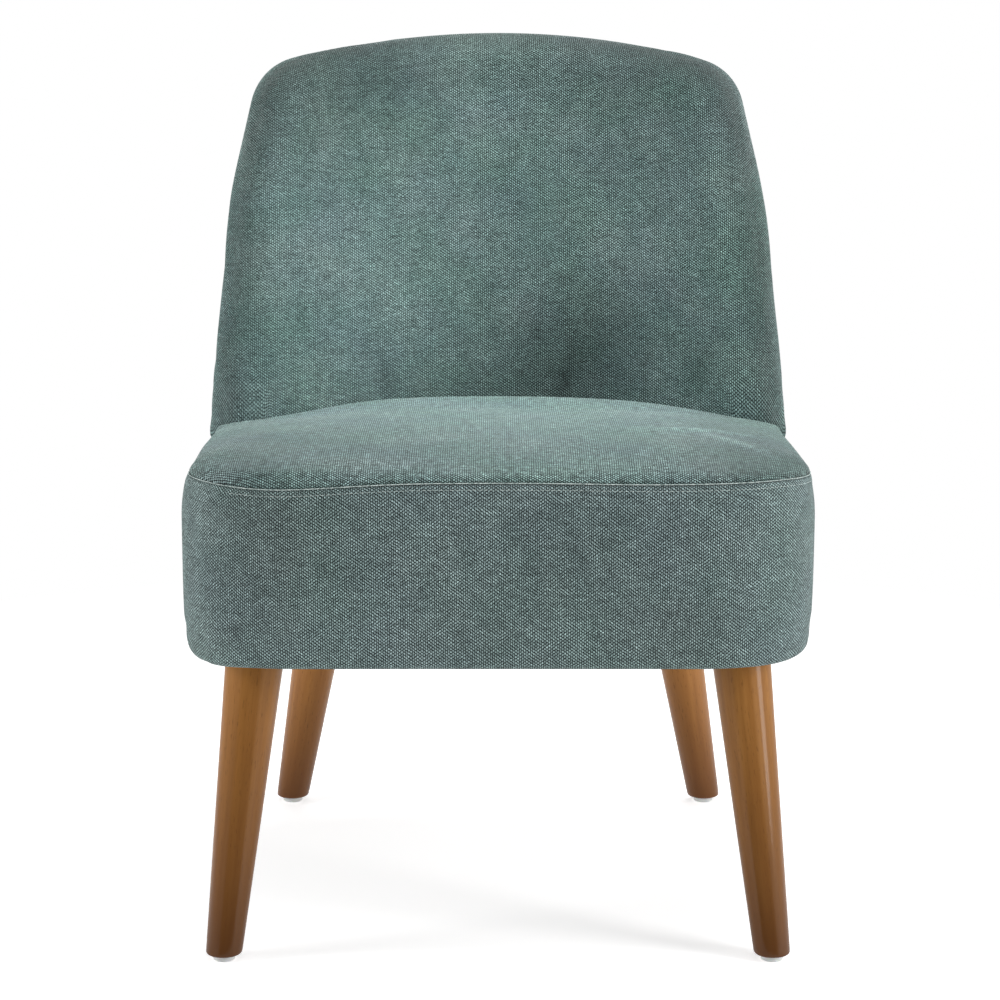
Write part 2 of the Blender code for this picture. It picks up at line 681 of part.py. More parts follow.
def make_front_block(shop, side_name, side):
    """Block that carries the rounded front corner of the seat."""
    centre = (HALF_WIDTH - FRONT_CORNER, FRONT_CORNER)
    start = (FRONT_RAIL_END + GAP, RAIL_INSET)
    end = (RAIL_SIDE, SIDE_RAIL_START - GAP)
    plan = [start] + arc(centre, FRONT_CORNER - RAIL_INSET, -math.pi / 2, 0.0, CORNER_STEPS) + [end]
    plan += [(RAIL_SIDE - BLOCK_DEPTH, end[1]), (start[0], RAIL_INSET + BLOCK_DEPTH)]
    outline = [Vector((side * x, y, RAIL_BOTTOM)) for x, y in plan]
    bm = prism(outline, Vector((0, 0, RAIL_HEIGHT)))
    block = shop.solid("corner_block_front_" + side_name, bm, "frame_pine")
    bore_block(shop, block, leg_head(True, side))


def make_rear_block(shop, side_name, side):
    """Block between a side rail and the rear rail, with the bore for its leg."""
    outer = RAIL_SIDE - RAIL_THICKNESS - GAP
    head = leg_head(False, 1)
    inner = head.x - REAR_BLOCK_REACH
    radius = REAR_RAIL_FRONT - GAP
    curve = [outer + (inner - outer) * i / BLOCK_STEPS for i in range(BLOCK_STEPS + 1)]
    plan = [(x, on_curve(radius, x) - GAP) for x in curve]
    plan.append((outer, plan[0][1] - REAR_BLOCK_LENGTH))
    outline = [Vector((side * x, y, RAIL_BOTTOM)) for x, y in plan]
    bm = prism(outline, Vector((0, 0, BLOCK_HEIGHT)))
    block = shop.solid("corner_block_rear_" + side_name, bm, "frame_pine")
    bore_block(shop, block, leg_head(False, side))


def make_springs(shop):
    """Sinuous springs from the front rail to the rear rail, held by a clip at each end."""
    reach = FRONT_RAIL_END - SPRING_END_MARGIN
    for i in range(SPRING_COUNT):
        x = reach * (2 * i / (SPRING_COUNT - 1) - 1)
        front = RAIL_INSET + RAIL_THICKNESS - CLIP_LENGTH / 2
        rear = on_curve(REAR_RAIL_FRONT, abs(x) + CLIP_WIDTH / 2) + CLIP_LENGTH / 2 + GAP
        number = str(i + 1)
        make_spring(shop, "seat_spring_" + number, x, front, rear)
        make_clip(shop, "spring_clip_front_" + number, x, front, -1)
        make_clip(shop, "spring_clip_rear_" + number, x, rear, 1)


def make_spring(shop, name, x, front, rear):
    """Wire that runs across from side to side, with a rounded turn between its runs."""
    runs = round((rear - front) / SPRING_PITCH)
    pitch = (rear - front) / runs
    reach = SPRING_WIDTH / 2 - pitch / 2
    points = []
    for i in range(runs + 1):
        y = front + i * pitch
        side = 1 if i % 2 else -1
        points += [(x + side * reach, y), (x - side * reach, y)]
        if i < runs:
            turn = reach + pitch / 2
            points += [(x - side * turn, y + pitch * share) for share in (0.25, 0.75)]
    curve = bpy.data.curves.new(name, "CURVE")
    curve.dimensions = "3D"
    curve.bevel_depth = WIRE / 2
    curve.bevel_resolution = 1
    curve.use_fill_caps = True
    spline = curve.splines.new("POLY")
    spline.points.add(len(points) - 1)
    for point, (px, py) in zip(spline.points, points):
        point.co = (px, py, WIRE_LEVEL, 1.0)
    shop.place(name, curve, "spring_steel")


def make_clip(shop, name, x, y, back):
    """Sheet steel clip, closed on its outer side, folded over the end run of a spring."""
    t = CLIP_SHEET
    closed = y + back * CLIP_LENGTH / 2
    open_end = y - back * CLIP_LENGTH / 2
    lip = y - back * CLIP_LENGTH / 4
    wall = closed - back * t
    low = CLIP_BOTTOM
    high = CLIP_TOP
    profile = [(closed, low), (open_end, low), (open_end, low + t), (wall, low + t)]
    profile += [(wall, high - t), (lip, high - t), (lip, high), (closed, high)]
    outline = [Vector((x - CLIP_WIDTH / 2, py, pz)) for py, pz in profile]
    shop.solid(name, prism(outline, Vector((CLIP_WIDTH, 0, 0))), "zinc_steel")


def make_seat_filling(shop):
    """Padding round the rails, the felt over the springs and the foam of the seat."""
    inner = RAIL_INSET - GAP
    side = BAND_BULGE + COVER + GAP
    low = band_low()
    rings = [(inner, low), (side, low), (side, RAIL_TOP), (inner, RAIL_TOP)]
    rows = [raise_plan(base_ring(i, z), z) for i, z in rings]
    bm = bmesh.new()
    skin(bm, rows + rows[:1], ring=True)
    shop.solid("rail_padding", bm, "white_wadding")

    bottom = INSULATOR_BOTTOM
    top = INSULATOR_BOTTOM + INSULATOR
    low = [seat_row(RAIL_INSET, k, FOAM_BOTTOM, lambda y: bottom) for k in DOME_SHARES]
    high = [seat_row(RAIL_INSET, k, FOAM_BOTTOM, lambda y: top) for k in DOME_SHARES]
    shop.solid("spring_insulator", pillow(low, [], high[::-1]), "grey_felt")
    make_seat_foam(shop)


def make_seat_foam(shop):
    """Foam from the felt up to the crown, a cover's depth inside the band and the top panel."""
    skin_depth = COVER + SOFT_GAP
    level = BACK_BASE
    base_share = (FOAM_BOTTOM - band_low()) / (SEAM_HEIGHT - band_low())
    base = band_inset(base_share) + skin_depth
    bottom = [seat_row(base, k, FOAM_BOTTOM, lambda y: FOAM_BOTTOM) for k in DOME_SHARES]
    sides = []
    for share in (BAND_PEAK, BAND_SHOULDER_SHARE):
        inset = band_inset(share) + skin_depth
        sides.append(seat_row(inset, 1.0, level, lambda y: band_height(share, y)))
    edge = BAND_BULGE + skin_depth
    top = []
    for k in DOME_SHARES[::-1]:
        rise = dome_rise(k) - skin_depth
        top.append(seat_row(edge, k, level + max(rise, 0.0), lambda y: seam_height(y) + rise))
    shop.solid("seat_foam", pillow(bottom, sides, top), "seat_foam")


def make_seat_covers(shop):
    """Top panel, the band round the box and the dust cover under it."""
    rows = [seat_row(BAND_BULGE, 1.0, BACK_BASE, lambda y: seam_height(y) + GAP)]
    for k in DOME_SHARES[::-1]:
        rise = max(dome_rise(k), COVER)
        level = BACK_BASE + rise - COVER
        rows.append(seat_row(BAND_BULGE, k, level, lambda y: seam_height(y) + GAP + rise))
    shop.sheet("seat_top_cover", rows, "woven_upholstery")

    rows = [raise_plan(base_ring(BAND_TURN_UNDER + BAND_BULGE, SEAT_UNDERSIDE), SEAT_UNDERSIDE)]
    for i in range(EDGE_STEPS):
        turn = math.pi / 2 * i / EDGE_STEPS
        inset = BAND_BULGE + BAND_EDGE * (1 - math.sin(turn))
        z = band_low() - BAND_EDGE * math.cos(turn)
        rows.append(raise_plan(base_ring(inset, z), z))
    for share in BAND_SHARES:
        ring = base_ring(band_inset(share), band_height(share, DEPTH))
        rows.append([Vector((x, y, band_height(share, y))) for x, y in ring])
    shop.sheet("seat_band", rows, "woven_upholstery", ring=True)

    plan = base_ring(BAND_TURN_UNDER / 2 + BAND_BULGE, SEAT_UNDERSIDE)
    outline = raise_plan(plan, DUST_TOP - DUST_COVER)
    cloth = shop.solid("dust_cover", prism(outline, Vector((0, 0, DUST_COVER))), "dust_cloth")
    for front in (True, False):
        for _, side in SIDES:
            head = leg_head(front, side)
            shop.bore(cloth, head, BOLT_DIAMETER / 2 + BORE_CLEARANCE, PLATE + DUST_COVER)


def mix(ends, share):
    return ends[0] + (ends[1] - ends[0]) * share


def bent_bar(s_range, h_range, n_range, along):
    """A bar of the back frame, following its curve along s or its rake along h."""
    section = [(0.0, 0), (0.5, 0), (1.0, 0), (1.0, 1), (0.5, 1), (0.0, 1)]
    steps = BAR_STEPS[along]
    rings = []
    for i in range(steps + 1):
        share = i / steps
        ring = []
        for across, face in section:
            s = mix(s_range, share if along == "s" else across)
            h = mix(h_range, across if along == "s" else share)
            ring.append(back_point(s, h, n_range[face]))
        rings.append(ring)
    return loft(rings)


POST_TOP = BACK_HEIGHT - POST_DROP
POST_OUTER = half_length(POST_TOP) - FRAME_INSET
POST_INNER = POST_OUTER - POST_WIDTH
TOP_RAIL_TOP = BACK_HEIGHT - TOP_RAIL_DROP
BOTTOM_RAIL_TOP = FRAME_BOTTOM + BOTTOM_RAIL_HEIGHT
LUMBAR_BOTTOM = BOTTOM_RAIL_TOP + LUMBAR_RAIL_RISE
LUMBAR_TOP = LUMBAR_BOTTOM + LUMBAR_RAIL_HEIGHT


def screw_points():
    """Where the coach screws cross from the back frame into the rear rail."""
    points = []
    for i in range(SCREW_COUNT):
        s = SCREW_SPACING * (i - (SCREW_COUNT - 1) / 2)
        points.append(back_point(s, FRAME_BOTTOM, FRAME / 2))
    return points


def make_back_frame(shop):
    """Two posts, three curved rails, the straps between them and the coach screws."""
    wood = (0.0, FRAME)
    for side_name, side in SIDES:
        span = sorted((side * POST_INNER, side * POST_OUTER))
        bar = bent_bar(span, (FRAME_BOTTOM, POST_TOP), wood, "h")
        shop.solid("back_post_" + side_name, bar, "frame_pine")
    top_half = half_length(TOP_RAIL_TOP) - FRAME_INSET - GAP
    between = POST_INNER - GAP
    top = bent_bar((-top_half, top_half), (POST_TOP + GAP, TOP_RAIL_TOP), wood, "s")
    shop.solid("back_top_rail", top, "frame_pine")
    lumbar = bent_bar((-between, between), (LUMBAR_BOTTOM, LUMBAR_TOP), wood, "s")
    shop.solid("back_lumbar_rail", lumbar, "frame_pine")
    bottom = bent_bar((-between, between), (FRAME_BOTTOM, BOTTOM_RAIL_TOP), wood, "s")
    rail = shop.solid("back_bottom_rail", bottom, "frame_pine")
    for i, name in enumerate(("left", "middle", "right")):
        s = STRAP_SPACING * (i - 1)
        span = (s - STRAP_WIDTH / 2, s + STRAP_WIDTH / 2)
        reach = (LUMBAR_BOTTOM + GAP, TOP_RAIL_TOP - GAP)
        strap = bent_bar(span, reach, (STRAP_REAR - STRAP, STRAP_REAR), "h")
        shop.solid("back_strap_" + name, strap, "elastic_webbing")
    for i, point in enumerate(screw_points()):
        shop.bore(rail, point, BOLT_DIAMETER / 2 + BORE_CLEARANCE, SCREW_LENGTH)
        make_coach_screw(shop, "coach_screw_" + str(i + 1), point)


def make_coach_screw(shop, name, point):
    head = BOTTOM_RAIL_TOP + GAP
    top = head + SCREW_HEAD_HEIGHT
    radius = BOLT_DIAMETER / 2
    tip = head - SCREW_LENGTH
    profile = [(0.0, top), (SCREW_HEAD / 2, top), (SCREW_HEAD / 2, head), (radius, head)]
    profile += [(radius, tip + radius), (0.0, tip)]
    turned(shop, name, profile, (point.x, point.y, 0.0), "zinc_steel", SMALL_ROUND_STEPS)


def make_back_filling(shop):
    """Foam in front of the frame, and the board and wadding behind it."""
    edge = COVER + SOFT_GAP
    radius = BACK_FRONT_EDGE - edge
    rear = [arch_row(edge, FOAM_REAR, k) for k in FACE_SHARES]
    between = []
    for i in range(1, EDGE_STEPS):
        turn = math.pi / 2 * i / EDGE_STEPS
        inset = edge + radius * (1 - math.cos(turn))
        between.append(arch_row(inset, FOAM_FRONT + radius * (1 - math.sin(turn)), 1.0))
    front = [arch_row(BACK_FRONT_EDGE, FOAM_FRONT, k) for k in FACE_SHARES[::-1]]
    shop.solid("back_foam", pillow(rear, between, front), "seat_foam")

    inset = BACK_REAR_EDGE + SOFT_GAP
    for name, near, far, finish in (("back_tack_panel", PANEL_FRONT, PANEL_REAR, "fibre_board"),
                                    ("back_wadding", WADDING_FRONT, WADDING_REAR, "white_wadding")):
        front = [arch_row(inset, near, k) for k in FACE_SHARES]
        rear = [arch_row(inset, far, k) for k in FACE_SHARES[::-1]]
        shop.solid(name, pillow(front, [], rear), finish)


def make_back_covers(shop):
    """Inside cover with its rounded edge, and the outside cover that closes the rear."""
    rows = []
    for i in range(REAR_CORNER_STEPS + 1):
        turn = math.pi / 2 * i / REAR_CORNER_STEPS
        inset = BACK_REAR_EDGE * (1 - math.sin(turn))
        rows.append(arch_row(inset, REAR_FACE - BACK_REAR_EDGE * (1 - math.cos(turn))))
    for i in range(EDGE_STEPS + 1):
        turn = math.pi / 2 * i / EDGE_STEPS
        inset = BACK_FRONT_EDGE * (1 - math.cos(turn))
        rows.append(arch_row(inset, FACE + BACK_FRONT_EDGE * (1 - math.sin(turn))))
    rows += [arch_row(BACK_FRONT_EDGE, FACE, k) for k in FACE_SHARES[-2::-1]]
    shop.sheet("back_inside_cover", rows, "woven_upholstery")

    inset = BACK_REAR_EDGE + COVER_SEAM
    rows = [arch_row(inset, REAR_FACE, k) for k in FACE_SHARES]
    shop.sheet("back_outside_cover", rows, "woven_upholstery")


def main():
    shop = Workshop()
    make_finishes(shop)
    make_legs(shop)
    make_seat_frame(shop)
    make_springs(shop)
    make_seat_filling(shop)
    make_seat_covers(shop)
    make_back_frame(shop)
    make_back_filling(shop)
    make_back_covers(shop)


main()
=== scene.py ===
"""Looks of the upholstered armless chair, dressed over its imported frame.

Metres, +Z up, the front faces -Y. Plans are worked out with y = 0 at the front of the seat and
moved to the frame's place by FRONT_Y. The back is described by s, the length along its curve
from the centre line, h, the height above the floor, and n, the distance behind its frame.
"""
import math

import bpy
import numpy as np
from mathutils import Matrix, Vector


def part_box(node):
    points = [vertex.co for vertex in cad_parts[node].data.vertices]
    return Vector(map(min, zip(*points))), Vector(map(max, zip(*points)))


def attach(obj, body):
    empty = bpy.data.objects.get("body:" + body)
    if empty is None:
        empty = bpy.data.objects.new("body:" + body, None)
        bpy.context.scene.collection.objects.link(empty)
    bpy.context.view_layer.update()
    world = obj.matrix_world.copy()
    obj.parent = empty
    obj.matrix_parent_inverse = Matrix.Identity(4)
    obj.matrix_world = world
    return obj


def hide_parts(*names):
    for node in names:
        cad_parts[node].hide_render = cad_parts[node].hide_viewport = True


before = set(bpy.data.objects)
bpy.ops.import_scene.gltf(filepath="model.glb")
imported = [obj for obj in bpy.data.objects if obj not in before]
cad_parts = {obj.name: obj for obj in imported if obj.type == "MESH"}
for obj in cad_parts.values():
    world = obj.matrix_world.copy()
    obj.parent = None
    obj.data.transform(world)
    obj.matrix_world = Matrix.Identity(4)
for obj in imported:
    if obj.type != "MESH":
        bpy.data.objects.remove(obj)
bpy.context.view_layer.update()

BAND_LOW, BAND_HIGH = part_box("seat_band")
BACK_LOW, BACK_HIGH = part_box("back_inside_cover")

# Seat
FRONT_Y = BAND_LOW.y
HALF_WIDTH = BAND_HIGH.x
SEAT_UNDERSIDE = BAND_LOW.z
SEAT_DEPTH = 0.472
SEAM_HEIGHT = 0.450
SEAT_TILT = math.tan(math.radians(4.5))
SEAT_CROWN = 0.030
CROWN_POWER = 3.5
FRONT_CORNER = 0.105
REAR_CORNER = 0.035
BAND_BULGE = 0.003
BAND_PEAK = 0.72
BAND_EDGE = 0.006
BAND_TURN_UNDER = 0.022
BAND_UNDER_SHARES = (1.0, 0.6)
BAND_FULLNESS = 0.0008
CORNER_FULLNESS = 0.0040
CORNER_DROOP = 0.0028
LOW_CORNER_SHARE = 0.35
FOLD_AT = -0.2677 + 0.0404j
FOLD_DEPTH = 0.0018
FOLD_WIDTH = 0.0055
FOLD_SHARE = 0.20
SEAM_SAG_DEPTH = 0.016
SEAM_SAG_REACH = 0.160
LEFT_PULL = 0.0030
RIGHT_PULL = 0.0004
PULL_DEPTH = 0.06
PULL_POWER = 16
SEAM_LIP = 0.0040
BAND_LIP_SHARE = 0.985
SEAT_FULLNESS = 0.0010
SEAT_RIM_SHARE = 0.25
SEAT_BACK_GAP = 0.0032
TUCK_DEPTH = 0.016
TUCK_STEPS = (0.12, 0.4, 1.0)

# Back
BACK_TOP = BACK_HIGH.z
BACK_BASE = BACK_LOW.z
FACE_RADIUS = 0.460
FRAME_RADIUS = 0.497
FACE = FACE_RADIUS - FRAME_RADIUS
REAR_FACE = 0.0393
CURVE_CENTRE = SEAT_DEPTH - FACE_RADIUS
BACK_RAKE = math.tan(math.radians(14.0))
BEND_HEIGHT = 0.400
BEND_LENGTH = 0.050
BACK_OVERHANG = 0.003
FRONT_EDGE = 0.034
REAR_EDGE = 0.020
SHOULDER_DROP = 0.164
SIDE_TAPER = 0.100
SHOULDER_TAPER = 0.245
TOP_DROP = 0.032
TOP_SLOPE = math.radians(12.0)
SHOULDER_RADIUS = 0.600
TOP_CORNER_RADIUS = 0.055
FOOT_HEIGHT = 0.060
FOOT_DROP = 0.018
FOOT_ROLL = 0.0075
FOOT_ROLL_POWER = 12
FOOT_LIP = 0.016
FOOT_FOLD_FROM = 0.030
PATTERN_MARGIN = 0.200
CROWN_FULLNESS = 0.0023
REAR_SEAM_INSET = 0.0015
REAR_SEAM_PROUD = 0.0002

# Places that follow from the sizes above
REAR_RADIUS = FRAME_RADIUS + REAR_FACE
BASE_HALF = FRAME_RADIUS * math.asin((HALF_WIDTH + BACK_OVERHANG) / (REAR_RADIUS - REAR_EDGE))
TIP_ANGLE = (BASE_HALF - FRONT_EDGE) / FRAME_RADIUS
TIP_X = (FACE_RADIUS + FRONT_EDGE) * math.sin(TIP_ANGLE)
TIP_Y = CURVE_CENTRE + (FACE_RADIUS + FRONT_EDGE) * math.cos(TIP_ANGLE)
FACE_HALF_WIDTH = FACE_RADIUS * math.sin(TIP_ANGLE)
LEVEL_FROM = TIP_Y - FRONT_EDGE
SEAT_HALF = HALF_WIDTH - BAND_BULGE

# Bell curves: height, middle and width
SEAM_SAGS = ((0.0062, -0.200, 0.085), (0.0014, 0.135, 0.070), (0.0018, 0.290, 0.022))
SEAT_HOLLOWS = ((0.0068, -0.218, 0.065), (0.0026, 0.225, 0.060))
# Painted light: the seat is paler in the middle
SEAT_MIDDLE_PAINTED_LIGHT = ((0.14, 0.030, 0.130),)

# Bumps: height, lean, middle and width across, middle and width upwards
FOOT_FOLDS = (
    (0.0016, 0.25, -0.125, 0.010, 0.012, 0.030),
    (0.0013, -0.35, 0.070, 0.009, 0.014, 0.028),
    (0.0010, -0.50, 0.215, 0.012, 0.030, 0.045),
)
BACK_HOLLOWS = (
    (0.0014, 0.0, 0.130, 0.055, 0.655, 0.050),
    (0.0012, 0.0, -0.080, 0.070, 0.560, 0.060),
)
# Painted light and shade on the back, mostly painted shade low in the middle
BACK_PAINTED_LIGHT_SPOTS = (
    (-0.44, 0.0, 0.060, 0.120, 0.440, 0.080),
    (-0.24, 0.0, 0.105, 0.075, 0.515, 0.050),
    (0.12, 0.0, -0.150, 0.090, 0.560, 0.080),
    (-0.12, 0.0, -0.090, 0.070, 0.450, 0.035),
)
# Painted light and shade along the front of the band
BAND_PAINTED_LIGHT_SPOTS = (
    (-0.20, 0.0, -0.200, 0.050, 0.75, 0.35),
    (-0.12, 0.0, 0.075, 0.045, 0.60, 0.30),
    (-0.18, 0.0, 0.155, 0.045, 0.20, 0.25),
    (0.12, 0.0, -0.130, 0.045, 0.22, 0.25),
    (-0.10, 0.0, -0.030, 0.030, 0.22, 0.20),
)
LOW_CORNERS = (
    (1.0, 0.0, -0.264, 0.036, 0.034, 0.050),
    (0.4, 0.0, 0.264, 0.036, 0.034, 0.050),
)
SEAT_CREASES = (
    (0.0016, 0.0, 0.206, 0.012, 0.195, 0.050),
    (0.0014, 1.50, 0.467, 0.020, 0.217, 0.030),
)
# Painted highlights along the seat's two folds on the right
SEAT_PAINTED_HIGHLIGHT_STREAKS = (
    (0.60, 0.0, 0.206, 0.015, 0.190, 0.050),
    (0.60, 1.50, 0.467, 0.016, 0.217, 0.028),
)

# Smooth steps: start, length and, where it isn't 1, height
FULLER_UP = (0.58, 0.08)
FULLER_LEFT = (0.12, 0.08)
CORNER_TUCK = (0.225, 0.035, 0.006)
PULL_ACROSS = (0.200, 0.080)
PULL_END = (0.120, 0.160)
HOLLOW_FROM = (0.200, 0.180)
REAR_HOLLOW = (0.280, 0.150, 0.0018)
# Painted shade on the back: its right side, top, crest and upper corners
BACK_RIGHT_SHADE = (-0.16, 0.26, 0.20)
BACK_TOP_SHADE = (0.700, 0.090, 0.12)
BACK_CREST_SHADE = (0.740, 0.040, 0.12)
BACK_CORNERS_UP = (0.620, 0.150)
BACK_LEFT_CORNER_SHADE = (0.020, 0.140, 0.34)
BACK_RIGHT_CORNER_SHADE = (0.040, 0.120, 0.16)
BACK_RELIEF_RISE = (-0.12, 0.20, 0.28)
# Painted shade on the strip round the back's edge evens out over its rear half
RIM_PAINTED_SHADE_EVEN = (0.50, 0.45)
# Painted light on the seat towards the back, painted shade at its sides
SEAT_REAR_PAINTED_LIGHT = (0.0, 0.42, 0.47)
SEAT_RIGHT_SHADE = (0.150, 0.080, 0.20)
SEAT_LEFT_SHADE = (0.160, 0.080, 0.10)
# Where the band's painted light and shade fades out towards the sides
BAND_PAINTED_LIGHT_FADE = (0.02, 0.08)

# Waves: height, then radians per metre and start; the band's long wave slants instead
SEAT_WAVE = (0.0010, 9.0, 1.0, 11.0, 0.6)
BAND_LONG_WAVE = (0.0008, 17.0, 2.2)
BAND_SHORT_WAVE = (0.0006, 41.0, 1.3)

# Look of the cloth on each cover, with its painted light and shade and the painted sheen that greys it
BACK_PAINTED_LIGHT = 1.10
BACK_RELIEF = 0.72
# Painted shade in the folds at the foot of the back and on the strip round its edge
FOLD_SHADE = 140.0
RIM_SHADE = 0.46
SEAT_PAINTED_LIGHT = 0.75
SEAT_PAINTED_SHEEN = 0.08
SEAT_SLUB = 0.85
BAND_PAINTED_SHEEN = 0.45

# Legs
LEG_FOOT_RADIUS = 0.01675
LEG_TOP_RADIUS = 0.02725
FOOT_ROUND = 0.0028
# Painted light: the rear legs' colour is made lighter, for the shade they stand in under the seat
REAR_LEG_PAINTED_LIGHT = 1.56
GRAIN_SHIFT = (0.7, 1.9)
GLIDE_HEIGHT = 0.0055
GLIDE_ROUND = 0.0014
GLIDE_BEVEL = 0.0004

# Meshes
CELL = 0.005
BUNCHING = 0.72
ARC_STEPS = 60
EDGE_STEPS = 7
BAND_EDGE_STEPS = 6
PATTERN_ROWS = 300
LEG_ROWS = 60
LEG_SEGMENTS = 64
GLIDE_SEGMENTS = 40
BEAD_SIDES = 8
BEAD_ROWS = 520
STITCH_SIDES = 6
SEAM_ROWS = 4001
SIM_FRAMES = 20
CLOTH = {
    "quality": 5,
    "mass": 0.3,
    "tension_stiffness": 25.0,
    "compression_stiffness": 25.0,
    "shear_stiffness": 8.0,
    "bending_stiffness": 1.2,
    "air_damping": 2.0,
    "use_pressure": True,
    "uniform_pressure_force": 4.0,
    "shrink_min": -0.006,
}
BACK_SWELL = 0.0040
SEAT_SWELL = 0.0050
BAND_SWELL = 0.0022
REAR_SWELL = 0.0030
FOLD_LIMIT = 0.0016
EASE_LENGTH = 0.035

# Threads
STITCH_DROP = 0.0062
STITCH_LENGTH = 0.0042
STITCH_PITCH = 0.0050
STITCH_RADIUS = 0.00034
STITCH_OUT = 0.45
STITCH_SHARES = (0.0, 0.12, 0.5, 0.88, 1.0)
STITCH_TAPER = (0.15, 0.8, 1.0, 0.8, 0.15)
BEAD_RADIUS = 0.00046
BEAD_DROP = 0.0003
BEAD_INSET = 0.0001
END_TAPER = 0.05
WARP_PITCH = 0.0020
WEFT_PITCH = 0.00135

# Camera, from the photograph's frame of 1000 x 1000
FOCAL_PIXELS = 3238.0
FRAME_PIXELS = 1000.0
SENSOR = 36.0
CAMERA_Y = -2.813
CAMERA_Z = 1.014
CAMERA_TILT = math.radians(11.63)
CAMERA_SHIFT = 0.002

# Stage
FLOOR_HALF = 6.0
FLAG_DISTANCE = 0.09
FLOOR_NEAR = 0.5
FLOOR_FAR = 1.3
FLOOR_LIFT = 0.64
SURROUND_LIGHT = 0.20
LIGHT_TARGET = (0.0, 0.0, 0.4)

# Softboxes: name, place, width, height, power and whether gloss mirrors them
SOFTBOXES = (
    ("top_softbox", (0.25, 0.10, 2.7), 1.6, 1.4, 68.0, True),
    ("left_softbox", (-2.6, -0.70, 0.9), 1.0, 1.6, 39.0, False),
    ("right_softbox", (2.4, -1.3, 1.0), 0.8, 1.8, 46.0, True),
)

# Dark cards: side, then how far their edges lie from the leg's axis at the top and at the foot
FLAGS = (
    ("left", (-0.07, 0.05), (-0.05, 0.09)),
    ("right", (-0.07, 0.04), (-0.10, 0.065)),
)


def place(x, y, z):
    """World points from plan x and y, with y = 0 at the front of the seat, and height z."""
    x, y, z = np.broadcast_arrays(x, y, z)
    return np.stack([x, y + FRONT_Y, z], axis=-1)


def hump(x, middle, width):
    """Bell curve: e to the minus of the squared distance from the middle in widths."""
    return np.exp(-((x - middle) / width) ** 2)


def ease(x):
    """Smooth step from 0 to 1: 3 x squared less 2 x cubed, with x held between 0 and 1."""
    x = np.clip(x, 0.0, 1.0)
    return x * x * (3 - 2 * x)


def ramp(x, start, length, height=1.0):
    """Smooth step from 0 at a start to a height after a length."""
    return height * ease((x - start) / length)


def bells(rows, x):
    """Sum of bell curves, each given by its height, middle and width."""
    return sum(height * hump(x, middle, width) for height, middle, width in rows)


def bumps(rows, across, up):
    """Sum of bumps: each is the product of two bell curves, and its lean shifts it across with up."""
    return sum(height * hump(across + lean * up, middle, width) * hump(up, level, tall)
               for height, lean, middle, width, level, tall in rows)


def rounded_path(corners, radii):
    """Complex polyline whose inner corners are arcs: each arc touches both sides of its corner,
    and its centre lies on the bisector at radius / sin(half the angle)."""
    parts = [np.array(corners[:1])]
    for before, corner, after, radius in zip(corners, corners[1:], corners[2:], radii):
        u = (before - corner) / abs(before - corner)
        v = (after - corner) / abs(after - corner)
        half = abs(np.angle(v / u)) / 2
        centre = corner + (u + v) / abs(u + v) * radius / math.sin(half)
        start = corner + u * radius / math.tan(half) - centre
        turn = np.sign((np.conj(-u) * v).imag) * (math.pi - 2 * half)
        parts.append(centre + start * np.exp(1j * turn * np.linspace(0, 1, ARC_STEPS)))
    parts.append(np.array(corners[-1:]))
    return np.concatenate(parts)


def lengths(path):
    """Length along a path up to each of its points."""
    return np.concatenate([[0.0], np.cumsum(np.abs(np.diff(path)))])


def at_shares(path, shares):
    """Points of a complex path at shares of its length, by linear interpolation."""
    along = lengths(path)
    wanted = np.asarray(shares) * along[-1]
    return np.interp(wanted, along, path.real) + 1j * np.interp(wanted, along, path.imag)


def normals_left(path):
    """Unit normals to the left of a complex path: its direction turned by a quarter."""
    direction = np.gradient(path)
    return 1j * direction / np.abs(direction)


def coons(low, high, left, right):
    """Coons patch: the two rulings between opposite borders, added, less the bilinear corners.
    Rows run from low to high, columns from left to right."""
    u = np.linspace(0, 1, len(low))[None, :]
    v = np.linspace(0, 1, len(left))[:, None]
    ruled = (1 - v) * low[None, :] + v * high[None, :]
    ruled = ruled + (1 - u) * left[:, None] + u * right[:, None]
    corners = (1 - u) * (1 - v) * low[0] + u * (1 - v) * low[-1]
    return ruled - corners - (1 - u) * v * high[0] - u * v * high[-1]


def grid_quads(index):
    """Quads between neighbouring rows and columns of a grid of vertex numbers."""
    a, b = index[:-1, :-1], index[1:, :-1]
    c, d = index[1:, 1:], index[:-1, 1:]
    return np.stack([a, b, c, d], axis=-1).reshape(-1, 4)


def grid_index(rows, columns, start=0):
    """Vertex numbers of a grid, row by row."""
    return start + np.arange(rows * columns).reshape(rows, columns)


def ring_index(rows, sides):
    """Vertex numbers of a grid whose rows close into rings."""
    index = grid_index(rows, sides)
    return np.hstack([index, index[:, :1]])


def make_mesh(name, points, faces, uv=None, uv_quads=None):
    """Mesh object from points and faces, with a flat cutting pattern in metres as its UV map."""
    mesh = bpy.data.meshes.new(name)
    mesh.from_pydata(points.reshape(-1, 3).tolist(), [], np.asarray(faces, dtype=object).tolist())
    mesh.shade_smooth()
    if uv is not None:
        corners = uv.reshape(-1, 2)[(faces if uv_quads is None else uv_quads).ravel()]
        layer = mesh.uv_layers.new(name="weave")
        layer.uv.foreach_set("vector", corners.astype(np.float32).ravel())
    piece = bpy.data.objects.new(name, mesh)
    bpy.context.scene.collection.objects.link(piece)
    return piece


def store(piece, name, value):
    """Store a number at every point of a piece, one for all or one each."""
    layer = piece.data.attributes.new(name, "FLOAT", "POINT")
    values = np.broadcast_to(np.asarray(value, np.float32).ravel(), (len(piece.data.vertices),))
    layer.data.foreach_set("value", np.ascontiguousarray(values))


